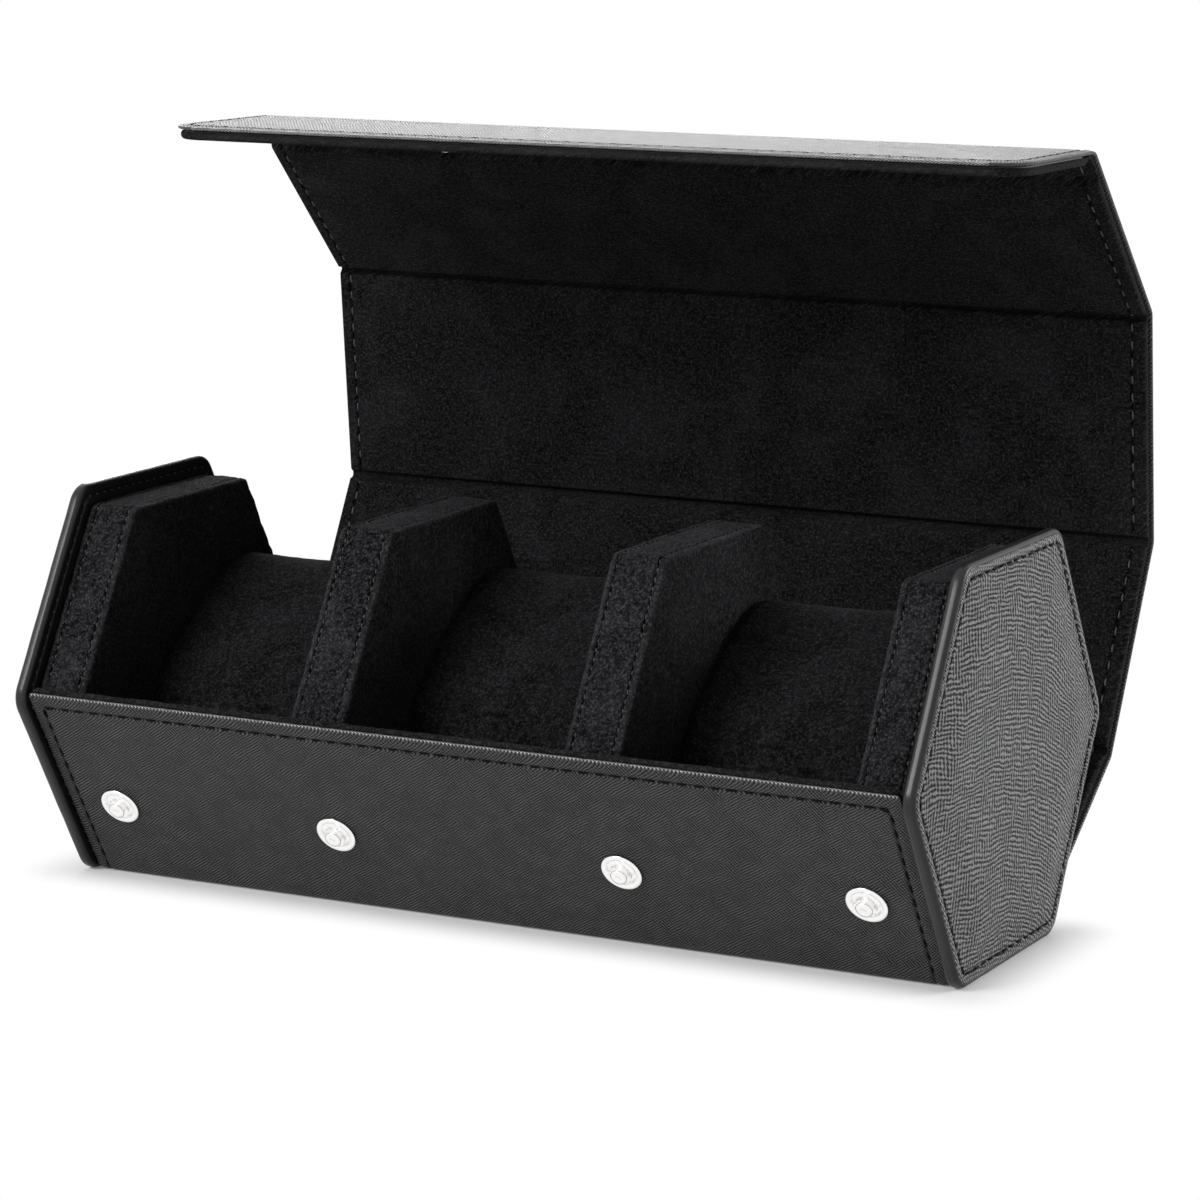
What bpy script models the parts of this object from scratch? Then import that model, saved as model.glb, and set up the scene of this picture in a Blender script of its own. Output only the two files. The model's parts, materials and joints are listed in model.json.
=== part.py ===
"""A hexagonal roll case with three padded bays, its five-fold cover standing open.

Axes: X runs along the roll, Y from front to back, Z up. The origin is the middle of the
underside, on the surface that the case stands on. All sizes are in metres.
"""

from math import cos, pi, radians, sin, tan

import bmesh
import bpy
from mathutils import Vector

# Overall sizes
LENGTH = 0.220
ACROSS_FLATS = 0.090
CAP_THICKNESS = 0.003
END_BLOCK_WIDTH = 0.0122
DIVIDER_WIDTH = 0.0135
BLOCK_INSET = 0.0045  # a block's faces lie this far inside the end cap's faces

# Sheets
LEATHER = 0.0010
BOARD = 0.0010
SUEDE = 0.0007
GAP = 0.0003  # room between two sheets that lie on each other

# Front panel
FRONT_BOARD = 0.0008
FRONT_TOP_RISE = 0.00135  # its top edge ends this far above the case's middle height
BOARD_DOWN = 0.0007  # the board and lining behind it start this far below the hexagon's corner
BOARD_INSET = 0.0015  # boards stop this far short of a sheet's sides

# Cover
COVER_INSET = 0.0001  # the closed cover's leather lies this far inside the cap's outline
COVER_SIDE_GAP = 0.0005
FLAP_LENGTH = 0.0415
FLAP_CORNER = 0.009
CORNER_STEPS = 6
LEATHER_END = 0.0005  # leather stops this far from a fold line
LINING_END = 0.0012
LINING_INSET = 0.0008  # the lining stops this far short of the leather's sides
CREASE = 0.0040  # board stops this far from a fold line
LAP_CREASE = 0.0090  # and this far at the flap's fold, where the front panel's edge lies under
FOLD_ANGLES = [35.6, 26.2, 32.8, 38.8, 45.8]  # degrees that each fold is bent, standing open

# Press studs
STUD_RADIUS = 0.0048
STUD_FLANGE = 0.0005
STUD_HEIGHT = 0.0025
STUD_KNOB_RADIUS = 0.0019
STUD_NECK_RADIUS = 0.0014
STUD_SHANK_RADIUS = 0.0016
RIVET_RADIUS = 0.0026
SOCKET_RADIUS = 0.0047
SOCKET_RIM = 0.0011
SOCKET_SHANK_RADIUS = 0.0031
SOCKET_BORE_RADIUS = 0.0023
STUD_XS = [-0.0927, -0.0355, 0.0355, 0.0927]
STUD_DOWN = 0.031  # from the front corner of the hexagon, down the front panel

# Pillows
PILLOW_HALF_LENGTH = 0.031
PILLOW_HALF_UPPER = 0.022
PILLOW_HALF_LOWER = 0.0265
PILLOW_SQUARENESS = 3.2
PILLOW_TILT = radians(36)
PILLOW_CENTRE = (0.0100, 0.0430)
PILLOW_SINKS = [0.0035, 0.0, 0.0015]  # how far each has slid down along the closed cover's back
PILLOW_SIDE_GAP = 0.0006
PILLOW_SKIN = 0.0009

# Worked out from the sizes above
HALF_LENGTH = LENGTH / 2
APOTHEM = ACROSS_FLATS / 2
CENTRE_Z = APOTHEM
BLOCK_APOTHEM = APOTHEM - BLOCK_INSET
CAP_INNER_X = HALF_LENGTH - CAP_THICKNESS
BLOCK_OUTER_X = CAP_INNER_X - GAP
BLOCK_INNER_X = BLOCK_OUTER_X - END_BLOCK_WIDTH
BAY_WIDTH = 2 * (BLOCK_INNER_X - DIVIDER_WIDTH) / 3
DIVIDER_X = BAY_WIDTH / 2 + DIVIDER_WIDTH / 2
FRONT_INSET = BLOCK_INSET - FRONT_BOARD - LEATHER - 3 * GAP  # of its outer face
COVER_HALF_WIDTH = CAP_INNER_X - COVER_SIDE_GAP
STUD_TOP = GAP + STUD_FLANGE
SOCKET_TOP = GAP + SOCKET_RIM
LINING_FACE = LEATHER / 2 + GAP + BOARD + GAP + SUEDE  # inwards from the leather's middle
FRONT_APOTHEM = APOTHEM - FRONT_INSET
COVER_APOTHEM = APOTHEM - COVER_INSET - LEATHER / 2
FLAP_APOTHEM = FRONT_APOTHEM + STUD_TOP + GAP + SOCKET_TOP + LINING_FACE
COVER_SIDE = 2 * COVER_APOTHEM * tan(pi / 6)
LAP = (FLAP_APOTHEM - COVER_APOTHEM) / (2 * sin(pi / 3))
PANEL_LENGTHS = [COVER_SIDE, COVER_SIDE, COVER_SIDE + LAP, COVER_SIDE + LAP, FLAP_LENGTH]

# Outward directions of the hexagon's faces, as (Y, Z)
BOTTOM = (0.0, -1.0)
FRONT_LOWER = (-sin(pi / 3), -cos(pi / 3))
BACK_LOWER = (sin(pi / 3), -cos(pi / 3))
FRONT_UPPER = (-sin(pi / 3), cos(pi / 3))


def clear_scene():
    for thing in list(bpy.data.objects):
        bpy.data.objects.remove(thing, do_unlink=True)


def make_material(name, colour, roughness, metallic=0.0):
    material = bpy.data.materials.new(name)
    material.use_nodes = True
    shader = material.node_tree.nodes["Principled BSDF"]
    shader.inputs["Base Color"].default_value = (*colour, 1.0)
    shader.inputs["Roughness"].default_value = roughness
    shader.inputs["Metallic"].default_value = metallic
    return material


def make_materials():
    return {
        "leather": make_material("grained_leather", (0.018, 0.018, 0.020), 0.50),
        "binding": make_material("smooth_leather", (0.013, 0.013, 0.014), 0.38),
        "suede": make_material("suede", (0.040, 0.040, 0.043), 0.95),
        "board": make_material("grey_board", (0.30, 0.29, 0.27), 0.90),
        "foam": make_material("foam", (0.22, 0.22, 0.23), 0.95),
        "nickel": make_material("nickel", (0.66, 0.65, 0.63), 0.22, 1.0),
    }


def faces_meet(face_a, apothem_a, face_b, apothem_b):
    """The (Y, Z) point where two faces of the hexagon meet, each at its own apothem."""
    (ay, az), (by, bz) = face_a, face_b
    turn = ay * bz - az * by
    y = (apothem_a * bz - apothem_b * az) / turn
    z = (ay * apothem_b - by * apothem_a) / turn
    return y, z + CENTRE_Z


def hexagon(apothem, corner_radius, corner_points=5):
    """Outline of a hexagon with rounded corners, standing on a flat, as (Y, Z) points."""
    reach = (apothem - corner_radius) / cos(pi / 6)
    points = []
    for corner in range(6):
        middle = corner * pi / 3
        for step in range(corner_points):
            angle = middle + (step / (corner_points - 1) - 0.5) * pi / 3
            y = reach * cos(middle) + corner_radius * cos(angle)
            z = reach * sin(middle) + corner_radius * sin(angle)
            points.append((y, CENTRE_Z + z))
    return points


def oval(inset, sink, count=36):
    """Outline of a pillow, long side leaning up to the back, shrunk by an inset."""
    centre_y = PILLOW_CENTRE[0] - sink * sin(pi / 6)
    centre_z = PILLOW_CENTRE[1] - sink * cos(pi / 6)
    points = []
    for step in range(count):
        angle = 2 * pi * step / count
        power = 2 / PILLOW_SQUARENESS
        half_height = PILLOW_HALF_UPPER if sin(angle) > 0 else PILLOW_HALF_LOWER
        u = (PILLOW_HALF_LENGTH - inset) * abs(cos(angle)) ** power
        v = (half_height - inset) * abs(sin(angle)) ** power
        u = u if cos(angle) > 0 else -u
        v = v if sin(angle) > 0 else -v
        y = centre_y + u * cos(PILLOW_TILT) - v * sin(PILLOW_TILT)
        z = centre_z + u * sin(PILLOW_TILT) + v * cos(PILLOW_TILT)
        points.append((y, z))
    return points


def finish_mesh(name, builder, material, parent=None, smooth_angle=radians(35)):
    """Turn a bmesh into an object with outward faces and its own material."""
    bmesh.ops.remove_doubles(builder, verts=builder.verts, dist=1e-6)
    bmesh.ops.recalc_face_normals(builder, faces=builder.faces)
    mesh = bpy.data.meshes.new(name)
    builder.to_mesh(mesh)
    builder.free()
    mesh.shade_smooth()
    mesh.set_sharp_from_angle(angle=smooth_angle)
    mesh.materials.append(material)
    thing = bpy.data.objects.new(name, mesh)
    bpy.context.collection.objects.link(thing)
    thing.parent = parent
    return thing


def loft(name, rows, material, closed=False, parent=None):
    """Join rows of points, all of one count, into a solid: a ring, or one with end faces."""
    builder = bmesh.new()
    loops = [[builder.verts.new(point) for point in row] for row in rows]
    pairs = list(zip(loops, loops[1:]))
    if closed:
        pairs.append((loops[-1], loops[0]))
    else:
        builder.faces.new(loops[0])
        builder.faces.new(loops[-1])
    count = len(loops[0])
    for first, second in pairs:
        for i in range(count):
            j = (i + 1) % count
            builder.faces.new((first[i], first[j], second[j], second[i]))
    return finish_mesh(name, builder, material, parent)


def outline_rows(outline, profile):
    """Rows for a loft along X: outline(inset) gives (Y, Z) points, profile (inset, x) pairs."""
    return [[(x, y, z) for y, z in outline(inset)] for inset, x in profile]


def strip(name, stations, material, parent=None):
    """A bent sheet: each station is (outer point, inner point, half width along X)."""
    rows = []
    for outer, inner, half in stations:
        rows.append([(-half, *outer), (half, *outer), (half, *inner), (-half, *inner)])
    return loft(name, rows, material, parent=parent)


def cylinder(name, radius, place, depth, parent=None, turn=(0, 0, 0)):
    """A cutter for a round hole."""
    builder = bmesh.new()
    bmesh.ops.create_cone(builder, cap_ends=True, segments=20, radius1=radius,
                          radius2=radius, depth=depth)
    mesh = bpy.data.meshes.new(name)
    builder.to_mesh(mesh)
    builder.free()
    cutter = bpy.data.objects.new(name, mesh)
    bpy.context.collection.objects.link(cutter)
    cutter.parent = parent
    cutter.location = place
    cutter.rotation_euler = turn
    cutter.hide_render = True
    cutter.display_type = "WIRE"
    return cutter


def drill(thing, cutter):
    hole = thing.modifiers.new(cutter.name, "BOOLEAN")
    hole.operation = "DIFFERENCE"
    hole.object = cutter


def make_end_cap(side, materials):
    """A stiff board with a leather face, both held in a channel of smooth leather."""
    word = "left" if side < 0 else "right"
    lip = 0.0006
    wall = 0.0009
    outer_lip = 0.0032
    inner_lip = 0.0054
    edge_round = 0.0011

    def outline(inset):
        return hexagon(APOTHEM - inset, max(0.006 - inset, 0.0012))

    def at(depth):
        return side * (HALF_LENGTH - depth)

    profile = [(outer_lip, at(0))]
    for step in range(4):
        angle = pi / 2 * step / 3
        profile.append((edge_round * (1 - sin(angle)), at(edge_round * (1 - cos(angle)))))
    for step in range(4):
        angle = pi / 2 * step / 3
        far = CAP_THICKNESS - edge_round
        profile.append((edge_round * (1 - cos(angle)), at(far + edge_round * sin(angle))))
    profile += [(inner_lip, at(CAP_THICKNESS)), (inner_lip, at(CAP_THICKNESS - lip))]
    profile += [(wall, at(CAP_THICKNESS - lip)), (wall, at(lip)), (outer_lip, at(lip))]
    loft(f"{word}_cap_binding", outline_rows(outline, profile), materials["binding"], closed=True)

    face = outer_lip + GAP
    rows = outline_rows(outline, [(face, at(0)), (face, at(lip))])
    loft(f"{word}_cap_leather", rows, materials["leather"])
    board = wall + GAP
    rows = outline_rows(outline, [(board, at(lip + GAP)), (board, at(CAP_THICKNESS - lip - GAP))])
    loft(f"{word}_cap_board", rows, materials["board"])


def block_outline(inset):
    return hexagon(BLOCK_APOTHEM - inset, 0.0016, corner_points=4)


def make_end_block(side, materials):
    """A hexagonal foam block under a suede cover that is open towards the cap."""
    word = "left" if side < 0 else "right"
    edge = 0.0006
    inner, outer = side * BLOCK_INNER_X, side * BLOCK_OUTER_X
    profile = [(SUEDE, inner + side * SUEDE), (SUEDE, outer), (0, outer)]
    profile += [(0, inner + side * edge), (edge, inner)]
    loft(f"{word}_block_cover", outline_rows(block_outline, profile), materials["suede"])
    core = SUEDE + GAP
    profile = [(core, inner + side * core), (core, outer - side * GAP)]
    loft(f"{word}_block_core", outline_rows(block_outline, profile), materials["foam"])


def make_divider(number, side, materials):
    """A hexagonal foam divider: a suede band round its edge and a suede sheet on each face."""
    near = side * DIVIDER_X - DIVIDER_WIDTH / 2
    far = near + DIVIDER_WIDTH
    core = SUEDE + GAP
    for word, start, way in (("left", near, 1), ("right", far, -1)):
        profile = [(0.0004, start), (0, start + way * 0.0004), (0, start + way * SUEDE)]
        rows = outline_rows(block_outline, profile)
        loft(f"divider_{number}_{word}_face", rows, materials["suede"])
    profile = [(0, near + core), (0, far - core), (SUEDE, far - core), (SUEDE, near + core)]
    rows = outline_rows(block_outline, profile)
    loft(f"divider_{number}_band", rows, materials["suede"], closed=True)
    rows = outline_rows(block_outline, [(core, near + core), (core, far - core)])
    loft(f"divider_{number}_core", rows, materials["foam"])


def front_point(apothem, down):
    """A point on the front panel: its apothem, and how far it is below the hexagon's corner."""
    along = down - APOTHEM * tan(pi / 6)
    y = FRONT_LOWER[0] * apothem + cos(pi / 3) * along
    z = FRONT_LOWER[1] * apothem - sin(pi / 3) * along
    return y, z + CENTRE_Z


def front_top(apothem):
    """The front panel's top edge at one depth of its layers, cut square to the panel."""
    above_middle = (FRONT_TOP_RISE + FRONT_APOTHEM * cos(pi / 3)) / sin(pi / 3)
    return front_point(apothem, APOTHEM * tan(pi / 6) - above_middle)


def make_base_sheets(materials):
    """The leather that is the underside and the front panel, and the boards behind it."""
    back = fold_start()[0]
    inner_front = FRONT_APOTHEM - LEATHER
    leather = [((back - LEATHER_END, 0.0), (back - LEATHER_END, LEATHER), COVER_HALF_WIDTH)]
    corner = (faces_meet(BOTTOM, APOTHEM, FRONT_LOWER, FRONT_APOTHEM),
              faces_meet(BOTTOM, APOTHEM - LEATHER, FRONT_LOWER, inner_front), COVER_HALF_WIDTH)
    leather += [corner, (front_top(FRONT_APOTHEM), front_top(inner_front), COVER_HALF_WIDTH)]
    base_leather = strip("base_leather", leather, materials["leather"])

    half = COVER_HALF_WIDTH - BOARD_INSET
    low, high = LEATHER + GAP, BLOCK_INSET - GAP
    front_line = faces_meet(BOTTOM, APOTHEM - low, FRONT_LOWER, inner_front - 2 * GAP)[0]
    board = [((back - CREASE, low), (back - CREASE, high), half),
             ((front_line, low), (front_line, high), half)]
    strip("base_board", board, materials["board"])

    outer = inner_front - GAP
    inner = outer - FRONT_BOARD
    bottom_down = 2 * APOTHEM * tan(pi / 6) - BLOCK_INSET
    panel = [(front_point(outer, BOARD_DOWN), front_point(inner, BOARD_DOWN), half),
             (front_point(outer, bottom_down), front_point(inner, bottom_down), half)]
    front_board = strip("front_board", panel, materials["board"])
    return base_leather, front_board


def make_bay_lining(number, x, materials):
    """Suede on the floor and the front wall of one bay, between its two blocks."""
    half = BAY_WIDTH / 2 - GAP
    back = fold_start()[0] - CREASE
    low = BLOCK_INSET
    outer = BLOCK_APOTHEM
    inner = outer - SUEDE
    stations = [((back, low), (back, low + SUEDE), half),
                (faces_meet(BOTTOM, APOTHEM - low, FRONT_LOWER, outer),
                 faces_meet(BOTTOM, APOTHEM - low - SUEDE, FRONT_LOWER, inner), half),
                (front_point(outer, BOARD_DOWN), front_point(inner, BOARD_DOWN), half)]
    lining = strip(f"bay_{number}_lining", stations, materials["suede"])
    lining.location.x = x


def fold_start():
    """The cover's first fold line, in the middle of the leather at the base's back edge."""
    return faces_meet(BOTTOM, APOTHEM - LEATHER / 2, BACK_LOWER, COVER_APOTHEM)


def make_folds():
    """One empty on each fold line, each the child of the last, turned as the cover stands."""
    folds = []
    place = Vector((0, *fold_start()))
    for number, angle in enumerate(FOLD_ANGLES, 1):
        fold = bpy.data.objects.new(f"fold_{number}", None)
        bpy.context.collection.objects.link(fold)
        fold.parent = folds[-1] if folds else None
        fold.location = place
        fold.rotation_euler.x = radians(angle)
        folds.append(fold)
        place = Vector((0, PANEL_LENGTHS[number - 1], 0))
    return folds


def corner_stations(length, half, radius, low, high):
    """Stations of a sheet's free end with both corners rounded, up to its end at length."""
    stations = []
    for step in range(CORNER_STEPS + 1):
        angle = pi / 2 * step / CORNER_STEPS
        along = length - radius + radius * sin(angle)
        width = half - radius + radius * cos(angle)
        stations.append(((along, low), (along, high), width))
    return stations


def make_cover_panel(number, fold, materials):
    """One stiff panel of the cover: leather outside, board, and a suede lining inside."""
    length = PANEL_LENGTHS[number - 1]
    is_flap = number == len(PANEL_LENGTHS)
    start_crease = CREASE
    end_crease = LAP_CREASE if number == len(PANEL_LENGTHS) - 1 else CREASE

    def layer(name, low, high, start, end, half, material):
        stations = [((start, low), (start, high), half)]
        if is_flap:
            inset = COVER_HALF_WIDTH - half
            stations += corner_stations(length - inset, half, FLAP_CORNER - inset, low, high)
        else:
            stations.append(((length - end, low), (length - end, high), half))
        return strip(f"cover_{number}_{name}", stations, material, parent=fold)

    layer("leather", -LEATHER / 2, LEATHER / 2, LEATHER_END, LEATHER_END, COVER_HALF_WIDTH,
          materials["leather"])
    board_low = LEATHER / 2 + GAP
    board = layer("board", board_low, board_low + BOARD, start_crease, end_crease,
                  COVER_HALF_WIDTH - BOARD_INSET, materials["board"])

    raised = board_low + BOARD + GAP
    half = COVER_HALF_WIDTH - LINING_INSET
    ramp = 0.0014  # length of the slope where the lining climbs from the leather onto the board

    def end_of_lining(crease, way, origin):
        flat = [LINING_END, crease - GAP - ramp]
        stations = [((origin + way * u, board_low), (origin + way * u, board_low + SUEDE), half)
                    for u in flat]
        top = origin + way * (crease - GAP)
        return stations + [((top, raised), (top, raised + SUEDE), half)]

    stations = end_of_lining(start_crease, 1, 0.0)
    if is_flap:
        inset = COVER_HALF_WIDTH - half
        stations += corner_stations(length - inset, half, FLAP_CORNER - inset, raised, raised + SUEDE)
    else:
        stations += reversed(end_of_lining(end_crease, -1, length))
    lining = strip(f"cover_{number}_lining", stations, materials["suede"], parent=fold)
    return board, lining


def turned(name, profile, material, parent=None):
    """A turned piece along Z from (radius, height) points, first and last closed by a face."""
    count = 24
    rows = [[(r * cos(2 * pi * i / count), r * sin(2 * pi * i / count), h) for i in range(count)]
            for r, h in profile]
    return loft(name, rows, material, parent=parent)


def make_stud(number, x, leather, board, materials):
    """A stud riveted through the front panel's leather, its rivet head in the board."""
    depth = LEATHER + GAP
    profile = [(RIVET_RADIUS, -depth - FRONT_BOARD), (RIVET_RADIUS, -depth)]
    profile += [(STUD_SHANK_RADIUS, -depth)]
    profile += [(STUD_SHANK_RADIUS, GAP), (STUD_RADIUS, GAP), (STUD_RADIUS, GAP + 0.0002)]
    profile += [(STUD_RADIUS - 0.0004, STUD_TOP), (0.0026, STUD_TOP)]
    profile += [(STUD_NECK_RADIUS, STUD_TOP + 0.0003), (STUD_NECK_RADIUS, STUD_HEIGHT - 0.0011)]
    profile += [(STUD_KNOB_RADIUS, STUD_HEIGHT - 0.0007), (STUD_KNOB_RADIUS, STUD_HEIGHT - 0.0004)]
    profile += [(STUD_KNOB_RADIUS - 0.0006, STUD_HEIGHT)]
    place = (x, *front_point(FRONT_APOTHEM, STUD_DOWN))
    turn = (radians(120), 0, 0)
    stud = turned(f"stud_{number}", profile, materials["nickel"])
    stud.location = place
    stud.rotation_euler = turn
    hole = cylinder(f"stud_hole_{number}", STUD_SHANK_RADIUS + GAP, place, 4 * LEATHER, turn=turn)
    drill(leather, hole)
    inner = (x, *front_point(FRONT_APOTHEM - depth - FRONT_BOARD / 2, STUD_DOWN))
    hole = cylinder(f"rivet_hole_{number}", RIVET_RADIUS + GAP, inner, 2 * FRONT_BOARD, turn=turn)
    drill(board, hole)


def socket_along():
    """How far a socket lies from the flap's fold, to meet its stud when the cover is closed."""
    fold_y, fold_z = faces_meet(FRONT_UPPER, COVER_APOTHEM + LAP * sin(pi / 3),
                                FRONT_LOWER, FLAP_APOTHEM)
    stud_y, stud_z = front_point(FLAP_APOTHEM, STUD_DOWN)
    return ((stud_y - fold_y) ** 2 + (stud_z - fold_z) ** 2) ** 0.5


def make_socket(number, x, fold, lining, materials):
    """A press-stud socket set in the flap's lining, its bore open towards the stud."""
    along = socket_along()
    under = LINING_FACE - SUEDE
    seat = LINING_FACE + GAP
    top = LINING_FACE + SOCKET_TOP
    profile = [(SOCKET_BORE_RADIUS, under + 0.0003), (SOCKET_BORE_RADIUS, top - 0.0003)]
    profile += [(SOCKET_BORE_RADIUS + 0.0003, top), (SOCKET_RADIUS - 0.0004, top)]
    profile += [(SOCKET_RADIUS, top - 0.0004), (SOCKET_RADIUS, seat), (SOCKET_SHANK_RADIUS, seat)]
    profile += [(SOCKET_SHANK_RADIUS, under)]
    socket = turned(f"socket_{number}", profile, materials["nickel"], parent=fold)
    socket.location = (x, along, 0)
    place = (x, along, under + SUEDE / 2)
    hole = cylinder(f"socket_hole_{number}", SOCKET_SHANK_RADIUS + GAP, place, 3 * SUEDE, fold)
    drill(lining, hole)


def make_pillow(number, x, sink, materials):
    """A pillow: foam in a suede cover whose right end is a separate oval panel."""
    half = BAY_WIDTH / 2 - PILLOW_SIDE_GAP
    skin = PILLOW_SKIN
    crown = 0.0022

    def outline(inset):
        return oval(inset, sink)

    mouth = half - skin - GAP
    cover = [(skin, -half + skin), (skin, mouth), (0.0004, mouth), (0.0, mouth - crown)]
    cover += [(0.0, -half + crown), (0.0007, -half + 0.0007), (crown, -half)]
    end = [(crown, half), (0.0009, half - 0.0004), (0.0006, half - skin)]
    core = [(skin + GAP, -half + skin + GAP), (skin + GAP, mouth)]
    seat = bpy.data.objects.new(f"pillow_{number}_seat", None)
    bpy.context.collection.objects.link(seat)
    seat.location = (x, 0, 0)
    suede, foam = materials["suede"], materials["foam"]
    loft(f"pillow_{number}_cover", outline_rows(outline, cover), suede, parent=seat)
    loft(f"pillow_{number}_end", outline_rows(outline, end), suede, parent=seat)
    loft(f"pillow_{number}_core", outline_rows(outline, core), foam, parent=seat)


def main():
    clear_scene()
    materials = make_materials()
    for side in (-1, 1):
        make_end_cap(side, materials)
        make_end_block(side, materials)
    for number, side in ((1, -1), (2, 1)):
        make_divider(number, side, materials)
    base_leather, front_board = make_base_sheets(materials)
    bay_pitch = BAY_WIDTH + DIVIDER_WIDTH
    for number, sink in enumerate(PILLOW_SINKS, 1):
        x = (number - 2) * bay_pitch
        make_bay_lining(number, x, materials)
        make_pillow(number, x, sink, materials)
    folds = make_folds()
    for number, fold in enumerate(folds, 1):
        board, lining = make_cover_panel(number, fold, materials)
    for number, x in enumerate(STUD_XS, 1):
        make_stud(number, x, base_leather, front_board, materials)
        make_socket(number, x, folds[-1], lining, materials)


main()
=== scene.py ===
"""A hexagonal leather roll case for three wristwatches, standing open.

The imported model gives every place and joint. The operators here make the visible case: its
grained leather, suede padding, stitching and press studs, and the stage that it stands on.
"""

import json
from collections import namedtuple
from math import cos, hypot, pi, radians, sin, sqrt, tan

import bmesh
import bpy
from bpy.props import FloatProperty, FloatVectorProperty, PointerProperty
from mathutils import Matrix, Vector, noise


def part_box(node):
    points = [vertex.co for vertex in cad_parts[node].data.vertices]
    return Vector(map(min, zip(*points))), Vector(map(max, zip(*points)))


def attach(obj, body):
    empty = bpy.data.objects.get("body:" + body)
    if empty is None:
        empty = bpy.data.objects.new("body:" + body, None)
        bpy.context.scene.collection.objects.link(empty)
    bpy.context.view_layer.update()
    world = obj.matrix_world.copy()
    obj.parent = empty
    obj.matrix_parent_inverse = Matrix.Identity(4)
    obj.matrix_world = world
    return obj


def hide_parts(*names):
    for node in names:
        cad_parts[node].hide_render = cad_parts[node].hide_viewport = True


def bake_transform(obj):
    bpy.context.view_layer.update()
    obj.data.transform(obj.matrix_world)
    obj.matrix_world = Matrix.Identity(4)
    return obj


bl_info = {
    "name": "Hexagonal Roll Case",
    "version": (1, 0, 0),
    "blender": (4, 5, 0),
    "location": "View3D > Sidebar > Roll Case",
    "description": "Makes the leather, suede, thread and nickel of a three-bay roll case",
    "category": "Object",
}

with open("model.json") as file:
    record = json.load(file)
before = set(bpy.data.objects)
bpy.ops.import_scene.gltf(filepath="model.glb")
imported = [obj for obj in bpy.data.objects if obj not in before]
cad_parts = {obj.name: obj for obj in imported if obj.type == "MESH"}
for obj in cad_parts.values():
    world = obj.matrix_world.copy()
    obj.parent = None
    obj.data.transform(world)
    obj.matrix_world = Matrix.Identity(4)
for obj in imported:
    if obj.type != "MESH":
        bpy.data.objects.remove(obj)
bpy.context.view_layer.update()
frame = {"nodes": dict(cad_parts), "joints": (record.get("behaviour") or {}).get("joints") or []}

MM = 0.001

# Sheets, as they are cut
LEATHER = 1.0 * MM
SUEDE = 0.7 * MM
GAP = 0.3 * MM
FRONT_INSET = 1.8 * MM  # the front panel's outer face lies this far inside the caps' faces
FRONT_TOP_RISE = 1.35 * MM  # its top edge ends this far above the case's middle height
FLAP_LENGTH = 41.5 * MM
FLAP_CORNER = 9.0 * MM
FRONT_CORNER = 0.9 * MM
EDGE_BEVEL = 0.3 * MM  # the leather thins by this much towards its cut edge
EDGE_BEVEL_WIDTH = 2.4 * MM
EDGE_WEAR_AND_GLINT = 0.42 * MM  # the line of edge wear along a cut edge, which also takes painted highlight beads
FOLD_RADIUS = 3.0 * MM  # in the middle of the leather
BEND_REACH = 2.2 * MM  # the cover bends within this distance of a fold line

# Lining of the cover, all measured inwards from the middle of the leather
LINING_BACK = 0.65 * MM
LINING_IN_CREASE = 1.5 * MM
LINING_OVER_BOARD = 2.8 * MM
BOARD_TOP = 1.92 * MM
LINING_INSET = 0.6 * MM

# Pressed grain: the ridges' angle and spacing, the spacing of the ones across them, how far they
# wander, how they curve away from the front, the relief's depth, and its painted light: how far the
# painted highlight on the ridges stands from the painted shade in the valleys, and the palest tone
# of that highlight
Grain = namedtuple("Grain", "angle pitch cross_pitch waver fall depth contrast pale")
SHEET_GRAIN = Grain(angle=radians(34), pitch=0.60 * MM, cross_pitch=0.70 * MM, waver=0.45 * MM,
                    fall=0.0, depth=0.20 * MM, contrast=0.80, pale=3.2)
CAP_GRAIN = Grain(angle=radians(4), pitch=1.05 * MM, cross_pitch=1.2 * MM, waver=1.5 * MM,
                  fall=7.0, depth=0.60 * MM, contrast=1.35, pale=5.2)
BEAD_PITCH = 0.9 * MM  # spacing of the beads of painted highlight along an edge's wear
# Painted highlight: the pale colour of the beads along edge wear, standing in for glints of light
PAINTED_BEAD_GLINT = (0.62, 0.62, 0.62)
WELD = 2e-7  # points of a mesh this close are one

# End caps and padded blocks
CAP_CORNER = 6.0 * MM  # rounding of the hexagon's corners
CAP_INNER_SEAM = 2.7 * MM
BLOCK_CORNER = 2.6 * MM

# Press studs
STUD_DOWN = 31.0 * MM  # from the hexagon's front corner, down the front panel
SOCKET_SEAT = 2.5 * MM

# Pillows
PILLOW_HALF_LENGTH = 31.0 * MM
PILLOW_HALF_UPPER = 22.0 * MM
PILLOW_HALF_LOWER = 26.5 * MM
PILLOW_SQUARENESS = 3.2
PILLOW_TILT = radians(36)
PILLOW_CENTRE = Vector((10.0 * MM, 43.0 * MM))
PILLOW_SINKS = [2.2 * MM, 0.0, 1.5 * MM]

# Read from the frame
CAP_LOW, CAP_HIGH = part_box("right_cap_binding")
BLOCK_LOW, BLOCK_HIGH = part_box("right_block_cover")
HALF_LENGTH = CAP_HIGH.x
CAP_INNER_X = CAP_LOW.x
CAP_THICKNESS = HALF_LENGTH - CAP_INNER_X
APOTHEM = (CAP_HIGH.z - CAP_LOW.z) / 2
CENTRE_Z = APOTHEM
BLOCK_APOTHEM = (BLOCK_HIGH.z - BLOCK_LOW.z) / 2
BLOCK_INSET = APOTHEM - BLOCK_APOTHEM
BLOCK_WIDTH = BLOCK_HIGH.x - BLOCK_LOW.x
DIVIDER_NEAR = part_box("divider_2_left_face")[0].x
DIVIDER_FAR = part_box("divider_2_right_face")[1].x
BAY_WIDTH = 2 * DIVIDER_NEAR
BAY_PITCH = DIVIDER_NEAR + DIVIDER_FAR
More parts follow.
